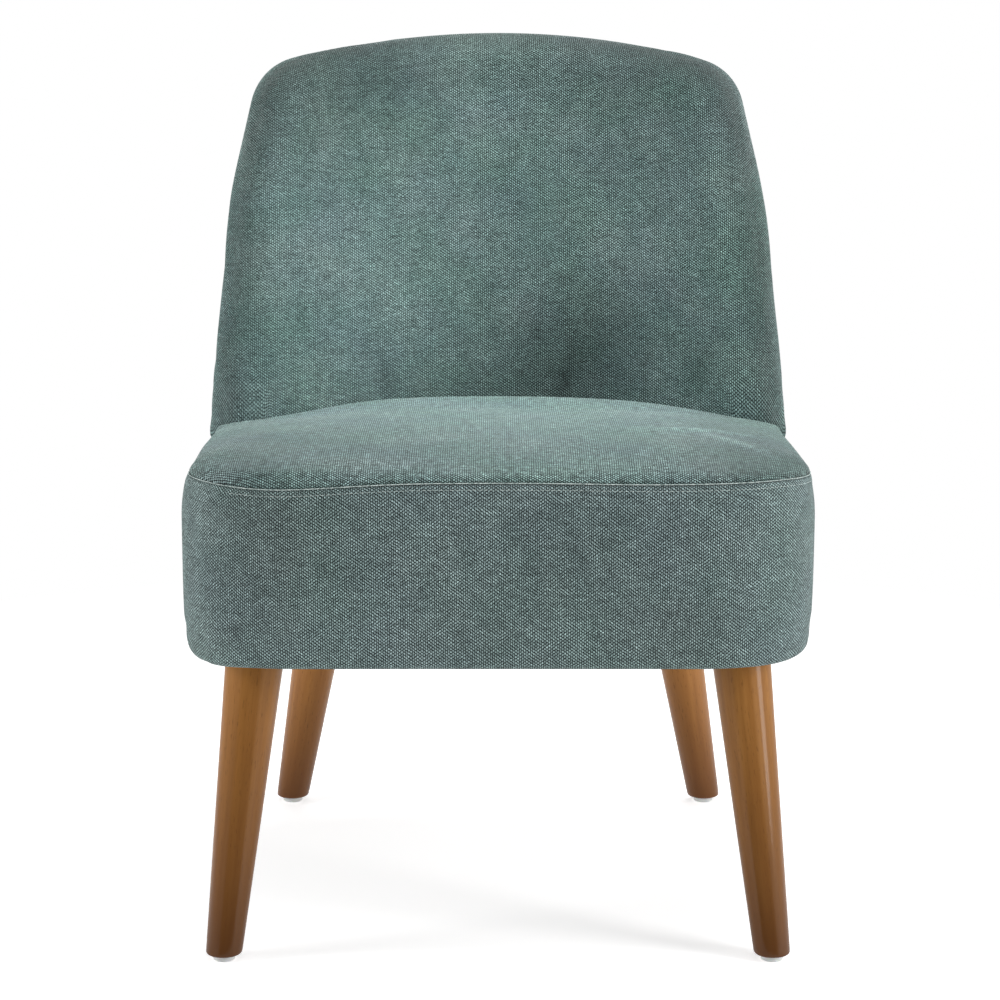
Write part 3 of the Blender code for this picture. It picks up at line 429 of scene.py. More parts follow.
def store_painted_light_and_weave(piece, nap_and_painted_light, grey=0.0, slub=0.1, relief=1.0):
    """Store the cloth's look at each point: its painted light and shade, 1 where there is none, how
    grey the painted sheen turns it, how far slubs stand out and how clear the weave shows."""
    store(piece, "nap_and_painted_light", nap_and_painted_light)
    store(piece, "grey", grey)
    store(piece, "slub", slub)
    store(piece, "relief", relief)


def dress(piece, material, slot_name, *nodes):
    """Give a piece its finish, let it ride on the chair and stand for its nodes of the frame."""
    piece.data.materials.append(material)
    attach(piece, "root")
    if nodes:
        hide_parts(*nodes)
    return piece


def subdivide(piece):
    """Smooth a piece by one level of subdivision, in views and renders alike."""
    smooth = piece.modifiers.new("smooth", "SUBSURF")
    smooth.levels = 1
    smooth.render_levels = 1


def read_vectors(items, key):
    """Rows of x, y and z that the items of a mesh hold under a key."""
    flat = np.zeros(len(items) * 3, np.float32)
    items.foreach_get(key, flat)
    return flat.reshape(-1, 3).astype(float)


def swell(piece, held, share, most):
    """Blow the cover up like a filled cushion: from a shape that is smaller by a share of `most` at
    each point, cloth pressure on the open surface, with the sewn points held, no gravity and a little
    slack. No point moves further than `most`. What the cloth adds or lacks along the normals of the
    tailored shape is kept, softly limited to FOLD_LIMIT, or half of it inwards, by a hyperbolic
    tangent."""
    tailored = read_vectors(piece.data.vertices, "co")
    normals = read_vectors(piece.data.vertex_normals, "vector")
    depth = most * share
    start = tailored - depth.reshape(-1, 1) * normals
    piece.data.vertices.foreach_set("co", start.astype(np.float32).ravel())
    piece.data.update()
    group = piece.vertex_groups.new(name="sewn")
    group.add(np.unique(held).tolist(), 1.0, "REPLACE")
    cloth = piece.modifiers.new("fill", "CLOTH")
    for key, value in CLOTH.items():
        setattr(cloth.settings, key, value)
    cloth.settings.vertex_group_mass = group.name
    cloth.settings.effector_weights.gravity = 0.0
    cloth.collision_settings.use_collision = False
    cloth.point_cache.frame_start = 1
    cloth.point_cache.frame_end = SIM_FRAMES
    scene = bpy.context.scene
    for number in range(1, SIM_FRAMES + 1):
        scene.frame_set(number)
    filled = piece.evaluated_get(bpy.context.evaluated_depsgraph_get())
    move = read_vectors(filled.data.vertices, "co") - start
    piece.modifiers.remove(cloth)
    piece.vertex_groups.remove(group)
    reach = np.linalg.norm(move, axis=1, keepdims=True)
    move *= np.minimum(1.0, most / np.maximum(reach, 1e-9))
    proud = np.sum((start + move - tailored) * normals, axis=1, keepdims=True)
    limit = np.where(proud > 0, FOLD_LIMIT, FOLD_LIMIT / 2)
    settled = tailored + normals * limit * np.tanh(proud / limit)
    piece.data.vertices.foreach_set("co", settled.astype(np.float32).ravel())
    piece.data.update()
    scene.frame_set(1)


def upholster(piece, fabric, held, share, most, *nodes):
    """Fill a cover that is sewn at the held points, smooth it and dress it."""
    swell(piece, held, share, most)
    subdivide(piece)
    dress(piece, fabric, "woven_upholstery", *nodes)


# Shape of the back


def rake(h):
    """Backward shift of the back: none low down, then a hyperbola that bends into the rake."""
    rise = h - BEND_HEIGHT
    return BACK_RAKE * (np.hypot(rise, BEND_LENGTH) + rise) / 2


def back_surface(s, h, n):
    """Points of the back: a vertical cylinder of radius FRAME_RADIUS + n, sheared by the rake."""
    angle = s / FRAME_RADIUS
    radius = FRAME_RADIUS + n
    return place(radius * np.sin(angle), CURVE_CENTRE + radius * np.cos(angle) + rake(h), h)


def back_pattern(s, h):
    """Flat pattern of the face: arc length across, and length along the raked side upwards."""
    levels = np.linspace(BACK_BASE - PATTERN_MARGIN, BACK_TOP + PATTERN_MARGIN, PATTERN_ROWS)
    run = lengths(levels + 1j * rake(levels))
    return np.stack([s * FACE_RADIUS / FRAME_RADIUS, np.interp(h, levels, run)], axis=-1)


def half_length(h):
    """Half length of the back's outline: a taper up to the shoulder and a stronger one above."""
    shoulder = BACK_TOP - SHOULDER_DROP
    low = BASE_HALF - SIDE_TAPER * (min(h, shoulder) - BACK_BASE)
    return low - SHOULDER_TAPER * max(h - shoulder, 0.0)


def back_outline():
    """Evenly spaced outline of the back, s + jh, from its right foot over the top to the left, and
    the number of cells on each side up to the middle of the top corner."""
    shoulder = BACK_TOP - SHOULDER_DROP
    corner = BACK_TOP - TOP_DROP
    right = [complex(half_length(h), h) for h in (BACK_BASE, shoulder, corner)]
    crest = right[2].real - TOP_DROP / math.tan(TOP_SLOPE)
    right.append(complex(crest, BACK_TOP))
    left = [complex(-p.real, p.imag) for p in reversed(right)]
    reach = min(crest, abs(right[3] - right[2]) - TOP_CORNER_RADIUS)
    crest_radius = reach / math.tan(TOP_SLOPE / 2)
    radii = [SHOULDER_RADIUS, TOP_CORNER_RADIUS, crest_radius]
    path = rounded_path(right + left, radii + radii[::-1])
    cells = 2 * round(lengths(path)[-1] / CELL / 2)
    path = at_shares(path, np.linspace(0, 1, cells + 1))
    fuller = ramp(path.imag, *FULLER_UP) * ramp(-path.real, *FULLER_LEFT)
    path = path - CROWN_FULLNESS * fuller * normals_left(path)
    return path, int(np.argmin(np.abs(path - right[2])))


OUTLINE, SIDE_CELLS = back_outline()
INWARD = normals_left(OUTLINE)


def inset_outline(inset):
    """The outline moved in along its normals, never below the foot of the back."""
    moved = OUTLINE + inset * INWARD
    return moved.real + 1j * np.maximum(moved.imag, BACK_BASE)


def arch_grid(inset):
    """Coons patch of the arch at an inset: columns from right to left, rows upwards."""
    edge = inset_outline(inset)
    right = edge[:SIDE_CELLS + 1]
    top = edge[SIDE_CELLS:len(edge) - SIDE_CELLS]
    left = edge[len(edge) - SIDE_CELLS - 1:][::-1]
    base = np.linspace(edge[0], edge[-1], len(top))
    return coons(base, top, right, left)


def wrap_profile():
    """Section of the edge as inset + jn: a quarter round from the face, a flat, and a smaller
    quarter round to the rear; with its length at every row."""
    turn = np.linspace(0, math.pi / 2, ARC_STEPS)
    front = FRONT_EDGE * (1 - np.sin(turn)) + 1j * (FACE + FRONT_EDGE * (1 - np.cos(turn)))
    rear = REAR_EDGE * (1 - np.cos(turn)) + 1j * (REAR_FACE - REAR_EDGE * (1 - np.sin(turn)))
    path = np.concatenate([front, rear])
    rows = round(lengths(path)[-1] / CELL)
    shares = np.linspace(0, 1, rows + 1)
    return at_shares(path, shares), shares * lengths(path)[-1]


def foot_drop(h, n):
    """Share by which the cover hangs down beside the seat at the foot of the back: fullest at the
    front and the sides, none at the rear."""
    return (1 - ramp(h, BACK_BASE, FOOT_HEIGHT)) * (1 - ramp(n, REAR_FACE - REAR_EDGE, REAR_EDGE))


def foot_folds(s, h):
    """Depth of the shallow folds pulled up from the foot of the back."""
    return bumps(FOOT_FOLDS, s, h - BACK_BASE - FOOT_FOLD_FROM)


def back_painted_light(s, h):
    """Painted light and shade of the back: darker low in the middle, in the folds, on the right,
    at the top and in the upper corners.
    """
    nap_and_painted_light = BACK_PAINTED_LIGHT + bumps(BACK_PAINTED_LIGHT_SPOTS, s, h) - FOLD_SHADE * foot_folds(s, h)
    nap_and_painted_light = nap_and_painted_light - ramp(s, *BACK_RIGHT_SHADE) - ramp(h, *BACK_TOP_SHADE) - ramp(h, *BACK_CREST_SHADE)
    corners = ramp(-s, *BACK_LEFT_CORNER_SHADE) + ramp(s, *BACK_RIGHT_CORNER_SHADE)
    return nap_and_painted_light - ramp(h, *BACK_CORNERS_UP) * corners


def back_folds(s, h):
    """Depth of the folds at the foot of the back, and of its soft hollows."""
    return foot_folds(s, h) + bumps(BACK_HOLLOWS, s, h)


def make_back_cover(fabric):
    """Inside cover of the back: the face and the strip that wraps its edge, sewn along the rear."""
    flat = arch_grid(FRONT_EDGE)
    rows, columns = flat.shape
    face_index = grid_index(rows, columns)
    face = back_surface(flat.real, flat.imag, FACE + back_folds(flat.real, flat.imag))
    face_uv = back_pattern(flat.real, flat.imag)

    profile, run = wrap_profile()
    edge = OUTLINE[None, :] + profile.real[:, None] * INWARD[None, :]
    high = np.maximum(edge.imag, BACK_BASE)
    drop = foot_drop(high, profile.imag[:, None])
    wide = edge.real - np.sign(edge.real) * FOOT_ROLL * drop ** FOOT_ROLL_POWER
    strip = back_surface(wide, high - FOOT_DROP * drop, profile.imag[:, None])
    border = inset_outline(FRONT_EDGE)
    out = border[None, :] - run[:, None] * INWARD[None, :]
    strip_uv = back_pattern(out.real, out.imag)

    columns_round = len(OUTLINE)
    joined = np.concatenate([face_index[:, 0], face_index[-1, 1:-1], face_index[::-1, -1]])
    strip_index = np.vstack([joined, grid_index(len(run) - 1, columns_round, rows * columns)])
    points = np.concatenate([face.reshape(-1, 3), strip[1:].reshape(-1, 3)])
    quads = np.concatenate([grid_quads(face_index), grid_quads(strip_index)])
    uv = np.concatenate([face_uv.reshape(-1, 2), strip_uv[1:].reshape(-1, 2)])
    feet = np.concatenate([strip_index[:, 0], strip_index[:, -1]])
    lip_index = len(points) + np.arange(len(feet)).reshape(2, -1)
    right_lip = np.stack([lip_index[0], strip_index[:, 0]], axis=1)
    left_lip = np.stack([strip_index[:, -1], lip_index[1]], axis=1)
    points = np.concatenate([points, points[feet] * [1 - FOOT_LIP / BASE_HALF, 1.0, 1.0]])
    quads = np.concatenate([quads, grid_quads(right_lip), grid_quads(left_lip)])
    uv = np.concatenate([uv, uv[feet] - [0.0, FOOT_LIP]])
    piece = make_mesh("back_cover", points, quads, uv)
    round_edge = (run / run[-1])[:, None]
    # Painted light and shade: the face gets the back's, the strip round the edge painted shade that
    # evens out over its rear half
    rim_painted_shade = back_painted_light(edge.real, high) * (1 - RIM_SHADE * ease(2 * round_edge))
    rim_painted_shade = rim_painted_shade + (1 - rim_painted_shade) * ramp(round_edge, *RIM_PAINTED_SHADE_EVEN)
    nap_and_painted_light = np.concatenate([back_painted_light(flat.real, flat.imag).ravel(), rim_painted_shade[1:].ravel()])
    nap_and_painted_light = np.concatenate([nap_and_painted_light, nap_and_painted_light[feet]])
    across = np.concatenate([flat.real.ravel(), edge.real[1:].ravel()])
    across = np.concatenate([across, across[feet]])
    store_painted_light_and_weave(piece, nap_and_painted_light, relief=BACK_RELIEF + ramp(across, *BACK_RELIEF_RISE))
    held = np.concatenate([face_index[0], strip_index[-1], feet, lip_index.ravel()])
    near_foot = ramp(flat.imag, BACK_BASE, EASE_LENGTH)
    along_foot = ramp(high, BACK_BASE, EASE_LENGTH) * (1 - ease(round_edge))
    share = np.concatenate([near_foot.ravel(), along_foot[1:].ravel(), np.zeros(len(feet))])
    upholster(piece, fabric, held, share, BACK_SWELL, "back_inside_cover")


def make_rear_cover(fabric):
    """Outside cover: the arch at the rear, inside its seam, a little filled."""
    flat = arch_grid(REAR_EDGE + REAR_SEAM_INSET)[:, ::-1]
    points = back_surface(flat.real, flat.imag, np.full(flat.shape, REAR_FACE))
    index = grid_index(*flat.shape)
    piece = make_mesh("back_rear_cover", points, grid_quads(index), back_pattern(flat.real, flat.imag))
    store_painted_light_and_weave(piece, 1.0)
    held = np.concatenate([index[0], index[-1], index[:, 0], index[:, -1]])
    rows = np.arange(index.shape[0])[:, None]
    columns = np.arange(index.shape[1])[None, :]
    rim = np.minimum(np.minimum(rows, rows[::-1]), np.minimum(columns, columns[:, ::-1])) * CELL
    upholster(piece, fabric, held, ease(rim / EASE_LENGTH), REAR_SWELL, "back_outside_cover")


# Shape of the seat


def seam_height(x, y):
    """Height of the seam: it falls towards the back, runs level beside it and sags at three places
    along the front by bell curves, which die out just inside the rim of the seat."""
    sag = bells(SEAM_SAGS, x) * hump(y, 0.0, SEAM_SAG_REACH)
    sag = sag * hump(1 - seat_share(x, y), 0.0, SEAM_SAG_DEPTH)
    return SEAM_HEIGHT - SEAT_TILT * np.minimum(y, LEVEL_FROM) - sag


def side_pull(x, y):
    """How far the seam pulls the cloth in at the front of the seat's sides, towards the middle."""
    pull = np.where(x < 0, -LEFT_PULL, RIGHT_PULL) * ramp(np.abs(x), *PULL_ACROSS)
    return pull * (1 - ramp(y, *PULL_END))


def back_face_y(x, level):
    """Front of the back in plan, less the gap to the seat: the face's circle, then its edge's."""
    x = np.abs(x)
    face = CURVE_CENTRE + np.sqrt(np.maximum((FACE_RADIUS - SEAT_BACK_GAP) ** 2 - x ** 2, 0.0))
    edge = TIP_Y - np.sqrt(np.maximum((FRONT_EDGE + SEAT_BACK_GAP) ** 2 - (x - TIP_X) ** 2, 0.0))
    return np.where(x < FACE_HALF_WIDTH, face, edge) + rake(level)


def seat_share(x, y):
    """Share of the way from the middle of the seat's rear edge to its rim, along a straight ray:
    the larger of the two box shares, or at a round corner the far root of the circle's equation."""
    deep = back_face_y(np.zeros(1), BACK_BASE)[0]
    px, py = np.abs(x), np.maximum(deep - y, 0.0)
    radius = FRONT_CORNER - BAND_BULGE
    qx, qy = SEAT_HALF - radius, deep - BAND_BULGE - radius
    square = np.maximum(px ** 2 + py ** 2, 1e-12)
    dot = px * qx + py * qy
    root = np.sqrt(np.maximum(dot ** 2 - square * (qx ** 2 + qy ** 2 - radius ** 2), 0.0))
    far = (dot + root) / square
    corner = (px * far > qx) & (py * far > qy)
    box = np.maximum(px / SEAT_HALF, py / (deep - BAND_BULGE))
    return np.minimum(np.where(corner, 1 / np.maximum(far, 1e-9), box), 1.0)


def seat_creases(x, y):
    """Height of the soft folds on the seat: two slanting ridges on the right, and a slow wave."""
    height, turn_x, start_x, turn_y, start_y = SEAT_WAVE
    wave = height * np.sin(turn_x * x + start_x) * np.sin(turn_y * y + start_y)
    return bumps(SEAT_CREASES, y, x) + wave


def seat_hollow(x, y):
    """How far the seat is sat in towards the back, deeper on the left than on the right."""
    return bells(SEAT_HOLLOWS, x) * ramp(y, *HOLLOW_FROM) + ramp(y, *REAR_HOLLOW)


def seat_painted_light(x, y):
    """Painted light and shade of the seat: paler towards the back and in the middle, darker at the
    sides, with painted highlights along two folds on the right.
    """
    nap_and_painted_light = SEAT_PAINTED_LIGHT + ramp(y, *SEAT_REAR_PAINTED_LIGHT) + bells(SEAT_MIDDLE_PAINTED_LIGHT, x)
    nap_and_painted_light = nap_and_painted_light - ramp(x, *SEAT_RIGHT_SHADE) - ramp(-x, *SEAT_LEFT_SHADE)
    return nap_and_painted_light + bumps(SEAT_PAINTED_HIGHLIGHT_STREAKS, y, x)


def bunched(count, both):
    """Shares from 0 to 1 that lie closer together at the start, or at both ends."""
    t = np.linspace(0, 1, count + 1)
    turn = 2 * math.pi if both else math.pi
    return t - BUNCHING * np.sin(turn * t) / turn


def rear_line(x):
    """Rear edge of the seat's top in plan, which runs a little under the rounded sides of the back."""
    return back_face_y(x, BACK_BASE) + ramp(np.abs(x), *CORNER_TUCK)


def seat_rim():
    """Rim of the seat's top in plan, x + jy, from its left end round the front to the right, and the
    share of its length up to the middle of the left front corner."""
    rear_y = rear_line(np.array([SEAT_HALF]))[0]
    corners = [complex(-SEAT_HALF, rear_y), complex(-SEAT_HALF, BAND_BULGE)]
    corners += [complex(SEAT_HALF, BAND_BULGE), complex(SEAT_HALF, rear_y)]
    rim = rounded_path(corners, [FRONT_CORNER - BAND_BULGE] * 2)
    return rim, lengths(rim)[np.argmin(np.abs(rim - corners[1]))] / lengths(rim)[-1]


def make_seat_cover(fabric):
    """Top panel of the seat: a Coons patch in plan, raised by crown times the root of one less the
    share to a power, and tucked down in front of the back."""
    rim, middle = seat_rim()
    across = bunched(round(2 * SEAT_HALF / CELL), both=True)
    along = bunched(round(SEAT_DEPTH / CELL), both=False)
    front = at_shares(rim, middle + (1 - 2 * middle) * across)
    left = at_shares(rim, middle * (1 - along))
    right = at_shares(rim, 1 - middle * (1 - along))
    rear_x = SEAT_HALF * (2 * across - 1)
    rear = rear_x + 1j * rear_line(rear_x)
    plan = coons(front, rear, left, right)
    x, y = plan.real, plan.imag
    share = seat_share(x, y)
    rise = SEAT_CROWN * np.sqrt(np.maximum(1 - share ** CROWN_POWER, 0.0))
    inner = ease((1 - share) / SEAT_RIM_SHARE)
    rise = rise * (1 - seat_hollow(x, y) / SEAT_CROWN)
    z = seam_height(x, y) + rise + inner * (seat_creases(x, y) + SEAT_FULLNESS)
    x = x - side_pull(x, y) * hump(1 - share, 0.0, PULL_DEPTH)

    tuck = np.array(TUCK_STEPS)[:, None]
    tuck_x = np.repeat(x[-1:], len(tuck), axis=0)
    tuck_y = y[-1:] + np.minimum(tuck, TUCK_STEPS[1]) * SEAT_BACK_GAP
    room = np.maximum(z[-1:] - BACK_BASE, 0.0)
    tuck_z = z[-1:] - np.minimum(tuck * TUCK_DEPTH, room)
    x = np.vstack([x, tuck_x])
    y = np.vstack([y, tuck_y])
    z = np.vstack([z, tuck_z])
    index = grid_index(*x.shape)
    steps = np.hypot(np.diff(y, axis=0), np.diff(z, axis=0))
    run = np.vstack([y[:1], y[:1] + np.cumsum(steps, axis=0)])
    uv = np.stack([x, run], axis=-1)
    points = place(x, y, z).reshape(-1, 3)
    # Painted light and shade of the seat
    nap_and_painted_light = seat_painted_light(x, y).ravel()

    edge = np.concatenate([index[::-1, 0], index[0, 1:-1], index[:, -1]])
    lip = points[edge] * [1 - SEAM_LIP / SEAT_HALF, 1.0, 1.0]
    lip[:, 1] += SEAM_LIP * (1 - ramp(lip[:, 1], FRONT_Y, FRONT_CORNER))
    lip[:, 2] -= SEAM_LIP / 2
    under = np.vstack([len(points) + np.arange(len(edge)), edge])
    quads = np.concatenate([grid_quads(index)[:, ::-1], grid_quads(under)[:, ::-1]])
    points = np.concatenate([points, lip])
    uv = uv.reshape(-1, 2)
    uv = np.concatenate([uv, uv[edge] - [0.0, SEAM_LIP]])
    piece = make_mesh("seat_cover", points, quads, uv)
    # Painted sheen greys the seat a little
    store_painted_light_and_weave(piece, np.concatenate([nap_and_painted_light, nap_and_painted_light[edge]]), SEAT_PAINTED_SHEEN, SEAT_SLUB)
    held = np.concatenate([under.ravel(), index[-1], index[-2]])
    share = np.concatenate([inner.ravel(), np.zeros(tuck_x.size + len(edge))])
    upholster(piece, fabric, held, share, SEAT_SWELL, "seat_top_cover", "seat_foam")


def box_plan():
    """Closed plan of the seat box, x + jy, from the middle of the rear round by the left, the front
    and the right: round front corners, smaller rear ones and the curved rear."""
    x = HALF_WIDTH - REAR_CORNER
    reach = math.sqrt((REAR_RADIUS - REAR_CORNER) ** 2 - x ** 2)
    turn = math.atan2(reach, x)
    centre = 1j * CURVE_CENTRE
    crown = centre + REAR_RADIUS * np.exp(1j * np.linspace(math.pi / 2, math.pi - turn, ARC_STEPS))
    angles = np.linspace(math.pi - turn, math.pi, ARC_STEPS)
    heel = centre + complex(-x, reach) + REAR_CORNER * np.exp(1j * angles)
    angles = np.linspace(math.pi, 1.5 * math.pi, ARC_STEPS)
    toe = complex(FRONT_CORNER - HALF_WIDTH, FRONT_CORNER) + FRONT_CORNER * np.exp(1j * angles)
    left = np.concatenate([crown, heel, toe])
    path = np.concatenate([left, -np.conj(left[::-1])])
    keep = np.concatenate([[True], np.abs(np.diff(path)) > 1e-9])
    return path[keep]


def band_profile():
    """Section of the band as inset + jt: t is below 0 under the seat and on the lower round, and
    from 0 to 1 the share of the height up to the seam, where it pulls in on both sides of its peak."""
    turn = np.linspace(0, math.pi / 2, BAND_EDGE_STEPS)
    low = BAND_BULGE + BAND_EDGE * (1 - np.sin(turn)) - 1j * BAND_EDGE * np.cos(turn)
    under = BAND_BULGE + BAND_TURN_UNDER * np.array(BAND_UNDER_SHARES) - 1j * BAND_EDGE
    share = np.linspace(0, 1, round((SEAM_HEIGHT - SEAT_UNDERSIDE) / CELL) + 1)[1:]
    span = np.where(share < BAND_PEAK, BAND_PEAK, 1 - BAND_PEAK)
    side = BAND_BULGE * ((share - BAND_PEAK) / span) ** 2 + 1j * share
    lip = np.array([complex(BAND_BULGE + SEAM_LIP, BAND_LIP_SHARE)])
    return np.concatenate([under, low, side, lip])


def band_waves(run, share):
    """Soft hollows along the band: two sine waves, strongest at half its height."""
    middle = np.sin(math.pi * share)
    height, turn, slant = BAND_LONG_WAVE
    wave = height * np.sin(turn * run + slant * share) * middle
    height, turn, start = BAND_SHORT_WAVE
    wave = wave + height * np.sin(turn * run + start) * middle ** 2
    return wave - BAND_FULLNESS * middle


def band_painted_light(plan, share):
    """Painted light and shade of the band, uneven along its front: bell curves across and up."""
    spots = bumps(BAND_PAINTED_LIGHT_SPOTS, plan.real[None, :], share)
    return 1.0 + spots * (1 - ramp(plan.imag, *BAND_PAINTED_LIGHT_FADE))[None, :]


def low_corner(plan, share):
    """Fullness of the band low down at its front corners, more at the left: bell curves in plan and
    up from the lower edge."""
    return bumps(LOW_CORNERS, plan.real, plan.imag)[None, :] * hump(share, 0.0, LOW_CORNER_SHARE)


def corner_fold(plan, run, share):
    """Short upright fold at the foot of the left front corner."""
    at = run[0, np.argmin(np.abs(plan - FOLD_AT))]
    return FOLD_DEPTH * hump(run, at, FOLD_WIDTH) * hump(share, 0.0, FOLD_SHARE)


def make_band(fabric):
    """Band round the seat box: the section carried round the closed plan, leaning with the rake."""
    plan = box_plan()
    total = lengths(plan)[-1]
    cells = 2 * round(total / CELL / 2)
    plan = at_shares(plan, np.linspace(0, 1, cells + 1))
    inward = normals_left(plan)
    inward[0] = inward[-1] = -1j
    section = band_profile()
    low = SEAT_UNDERSIDE + BAND_EDGE
    share = np.clip(section.imag, 0, 1)[:, None]
    run = np.linspace(0, total, cells + 1)[None, :]
    full = low_corner(plan, share)
    inset = section.real[:, None] + band_waves(run, share) + corner_fold(plan, run, share)
    edge = plan[None, :] + (inset - CORNER_FULLNESS * full) * inward[None, :]
    x, y = edge.real, edge.imag
    x = x - side_pull(x, y) * share ** PULL_POWER
    drop = np.minimum(section.imag, 0.0)[:, None]
    z = low + drop + share * (seam_height(x, y) - low) - CORNER_DROOP * full
    y = y + rake(z) * ramp(y, FRONT_CORNER, SEAT_DEPTH - FRONT_CORNER)
    height = lengths(section.real + 1j * z.mean(axis=1))
    uv = np.stack(np.broadcast_arrays(run, height[:, None]), axis=-1)
    uv_index = grid_index(len(section), cells + 1)
    index = grid_index(len(section), cells)
    quads = grid_quads(ring_index(len(section), cells))[:, ::-1]
    points = place(x, y, z)[:, :-1]
    piece = make_mesh("seat_band_cover", points, quads, uv, grid_quads(uv_index)[:, ::-1])
    # The band's painted light and shade, and painted sheen that greys it
    store_painted_light_and_weave(piece, band_painted_light(plan, share)[:, :-1], BAND_PAINTED_SHEEN)
    firm = section.imag <= 0.0
    held = np.concatenate([index[firm].ravel(), index[-2:].ravel()])
    share = np.broadcast_to(np.sin(math.pi * share), index.shape)
    upholster(piece, fabric, held, share, BAND_SWELL, "seat_band")


def seam_path(drop, outside, count):
    """Points along the seam of the seat from the left end round the front to the right, lowered by
    a drop and moved outwards."""
    path = at_shares(seat_rim()[0], np.linspace(0, 1, count))
    path = path - outside * normals_left(path)
    x = path.real - side_pull(path.real, path.imag)
    return place(x, path.imag, seam_height(path.real, path.imag) - drop)


def tube(path, radius, sides, closed_ends=True):
    """Round tube: circles in the plane of the path's two normals, tapered to points at its ends."""
    ahead = np.gradient(path, axis=0)
    ahead /= np.linalg.norm(ahead, axis=1, keepdims=True)
    side = np.cross(ahead, [0.0, 0.0, 1.0])
    side /= np.linalg.norm(side, axis=1, keepdims=True)
    up = np.cross(side, ahead)
    angle = np.linspace(0, 2 * math.pi, sides, endpoint=False)
    ring = np.cos(angle)[None, :, None] * side[:, None] + np.sin(angle)[None, :, None] * up[:, None]
    taper = np.ones(len(path))
    if closed_ends:
        taper[[0, -1]] = END_TAPER
    points = path[:, None] + radius * taper[:, None, None] * ring
    return points, ring_index(len(path), sides)


def make_seam(thread):
    """Folded edge of the top panel, a thin pale bead along the seam: its pale thread colour is partly
    the cloth's paler edge and partly a painted highlight where the fold catches light.
    """
    path = seam_path(BEAD_DROP, -BEAD_INSET, BEAD_ROWS)
    points, index = tube(path, BEAD_RADIUS, BEAD_SIDES)
    piece = make_mesh("seat_seam_edge", points, grid_quads(index))
    dress(piece, thread, "woven_upholstery")


def make_stitches(thread):
    """Row of top stitches below the seam: one short tube, repeated along the run of the seam."""
    fine = seam_path(STITCH_DROP, BAND_BULGE * STITCH_OUT, SEAM_ROWS)
    run = np.concatenate([[0.0], np.cumsum(np.linalg.norm(np.diff(fine, axis=0), axis=1))])
    count = int(run[-1] / STITCH_PITCH)
    starts = STITCH_PITCH * (0.5 + np.arange(count))
    rings = len(STITCH_SHARES)
    at = (starts[:, None] + STITCH_LENGTH * np.array(STITCH_SHARES)[None, :]).ravel()
    path = np.stack([np.interp(at, run, fine[:, i]) for i in range(3)], axis=-1)
    points, index = tube(path, STITCH_RADIUS, STITCH_SIDES, closed_ends=False)
    points = points.reshape(count, rings, STITCH_SIDES, 3)
    centres = path.reshape(count, rings, 1, 3)
    points = centres + (points - centres) * np.array(STITCH_TAPER)[None, :, None, None]
    quads = [grid_quads(rows) for rows in index.reshape(count, rings, STITCH_SIDES + 1)]
    piece = make_mesh("seat_top_stitch", points, np.concatenate(quads))
    dress(piece, thread, "woven_upholstery")


def make_rear_welt(fabric):
    """Thin bead in the seam between the two covers of the back."""
    edge = inset_outline(REAR_EDGE)
    path = back_surface(edge.real, edge.imag, np.full(len(edge), REAR_FACE + REAR_SEAM_PROUD))
    points, index = tube(path, BEAD_RADIUS, BEAD_SIDES)
    run = np.arange(len(path))[:, None] * CELL
    girth = np.arange(BEAD_SIDES + 1)[None, :] * BEAD_RADIUS
    uv = np.stack(np.broadcast_arrays(run, girth), axis=-1)
    uv_quads = grid_quads(grid_index(len(path), BEAD_SIDES + 1))
    piece = make_mesh("back_rear_seam", points, grid_quads(index), uv, uv_quads)
    store_painted_light_and_weave(piece, 1.0)
    dress(piece, fabric, "woven_upholstery")


# Legs


def lathe(profile, segments, axis_low, axis_high):
    """Turned surface: the profile r + jz swept round an axis, with level rings that shift along the
    line between the axis's ends."""
    angle = np.linspace(0, 2 * math.pi, segments, endpoint=False)[None, :]
    radius, z = profile.real[:, None], profile.imag[:, None]
    share = (z - axis_low.z) / (axis_high.z - axis_low.z)
    x = axis_low.x + share * (axis_high.x - axis_low.x) + radius * np.cos(angle)
    y = axis_low.y + share * (axis_high.y - axis_low.y) + radius * np.sin(angle)
    rings = np.stack(np.broadcast_arrays(x, y, z + 0 * x), axis=-1).reshape(-1, 3)
    index = ring_index(len(profile), segments)
    poles = np.array([axis_low, axis_high])
    low, high = len(rings), len(rings) + 1
    under = np.stack([np.full(segments, low), index[0, 1:], index[0, :-1]], axis=-1)
    over = np.stack([np.full(segments, high), index[-1, :-1], index[-1, 1:]], axis=-1)
    faces = grid_quads(index)[:, ::-1].tolist() + under.tolist() + over.tolist()
    return np.concatenate([rings, poles]), faces


def leg_axis(node):
    """Middle of a leg's foot and of its top, from its box: the foot's circle touches the box on the
    outer sides and the top's circle on the inner ones."""
    low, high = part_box(node)
    ends = []
    for radius, outer in ((LEG_FOOT_RADIUS, True), (LEG_TOP_RADIUS, False)):
        right = (low.x > 0) == outer
        rear = (low.y + high.y > 0) == outer
        x = high.x - radius if right else low.x + radius
        y = high.y - radius if rear else low.y + radius
        ends.append(Vector((x, y, low.z if outer else high.z)))
    return ends


def rounded_foot(radius, fillet, level):
    """Profile r + jz of a lower edge that is a quarter round, up from its level."""
    turn = np.linspace(0, math.pi / 2, EDGE_STEPS)
    return radius - fillet * (1 - np.sin(turn)) + 1j * (level + fillet * (1 - np.cos(turn)))


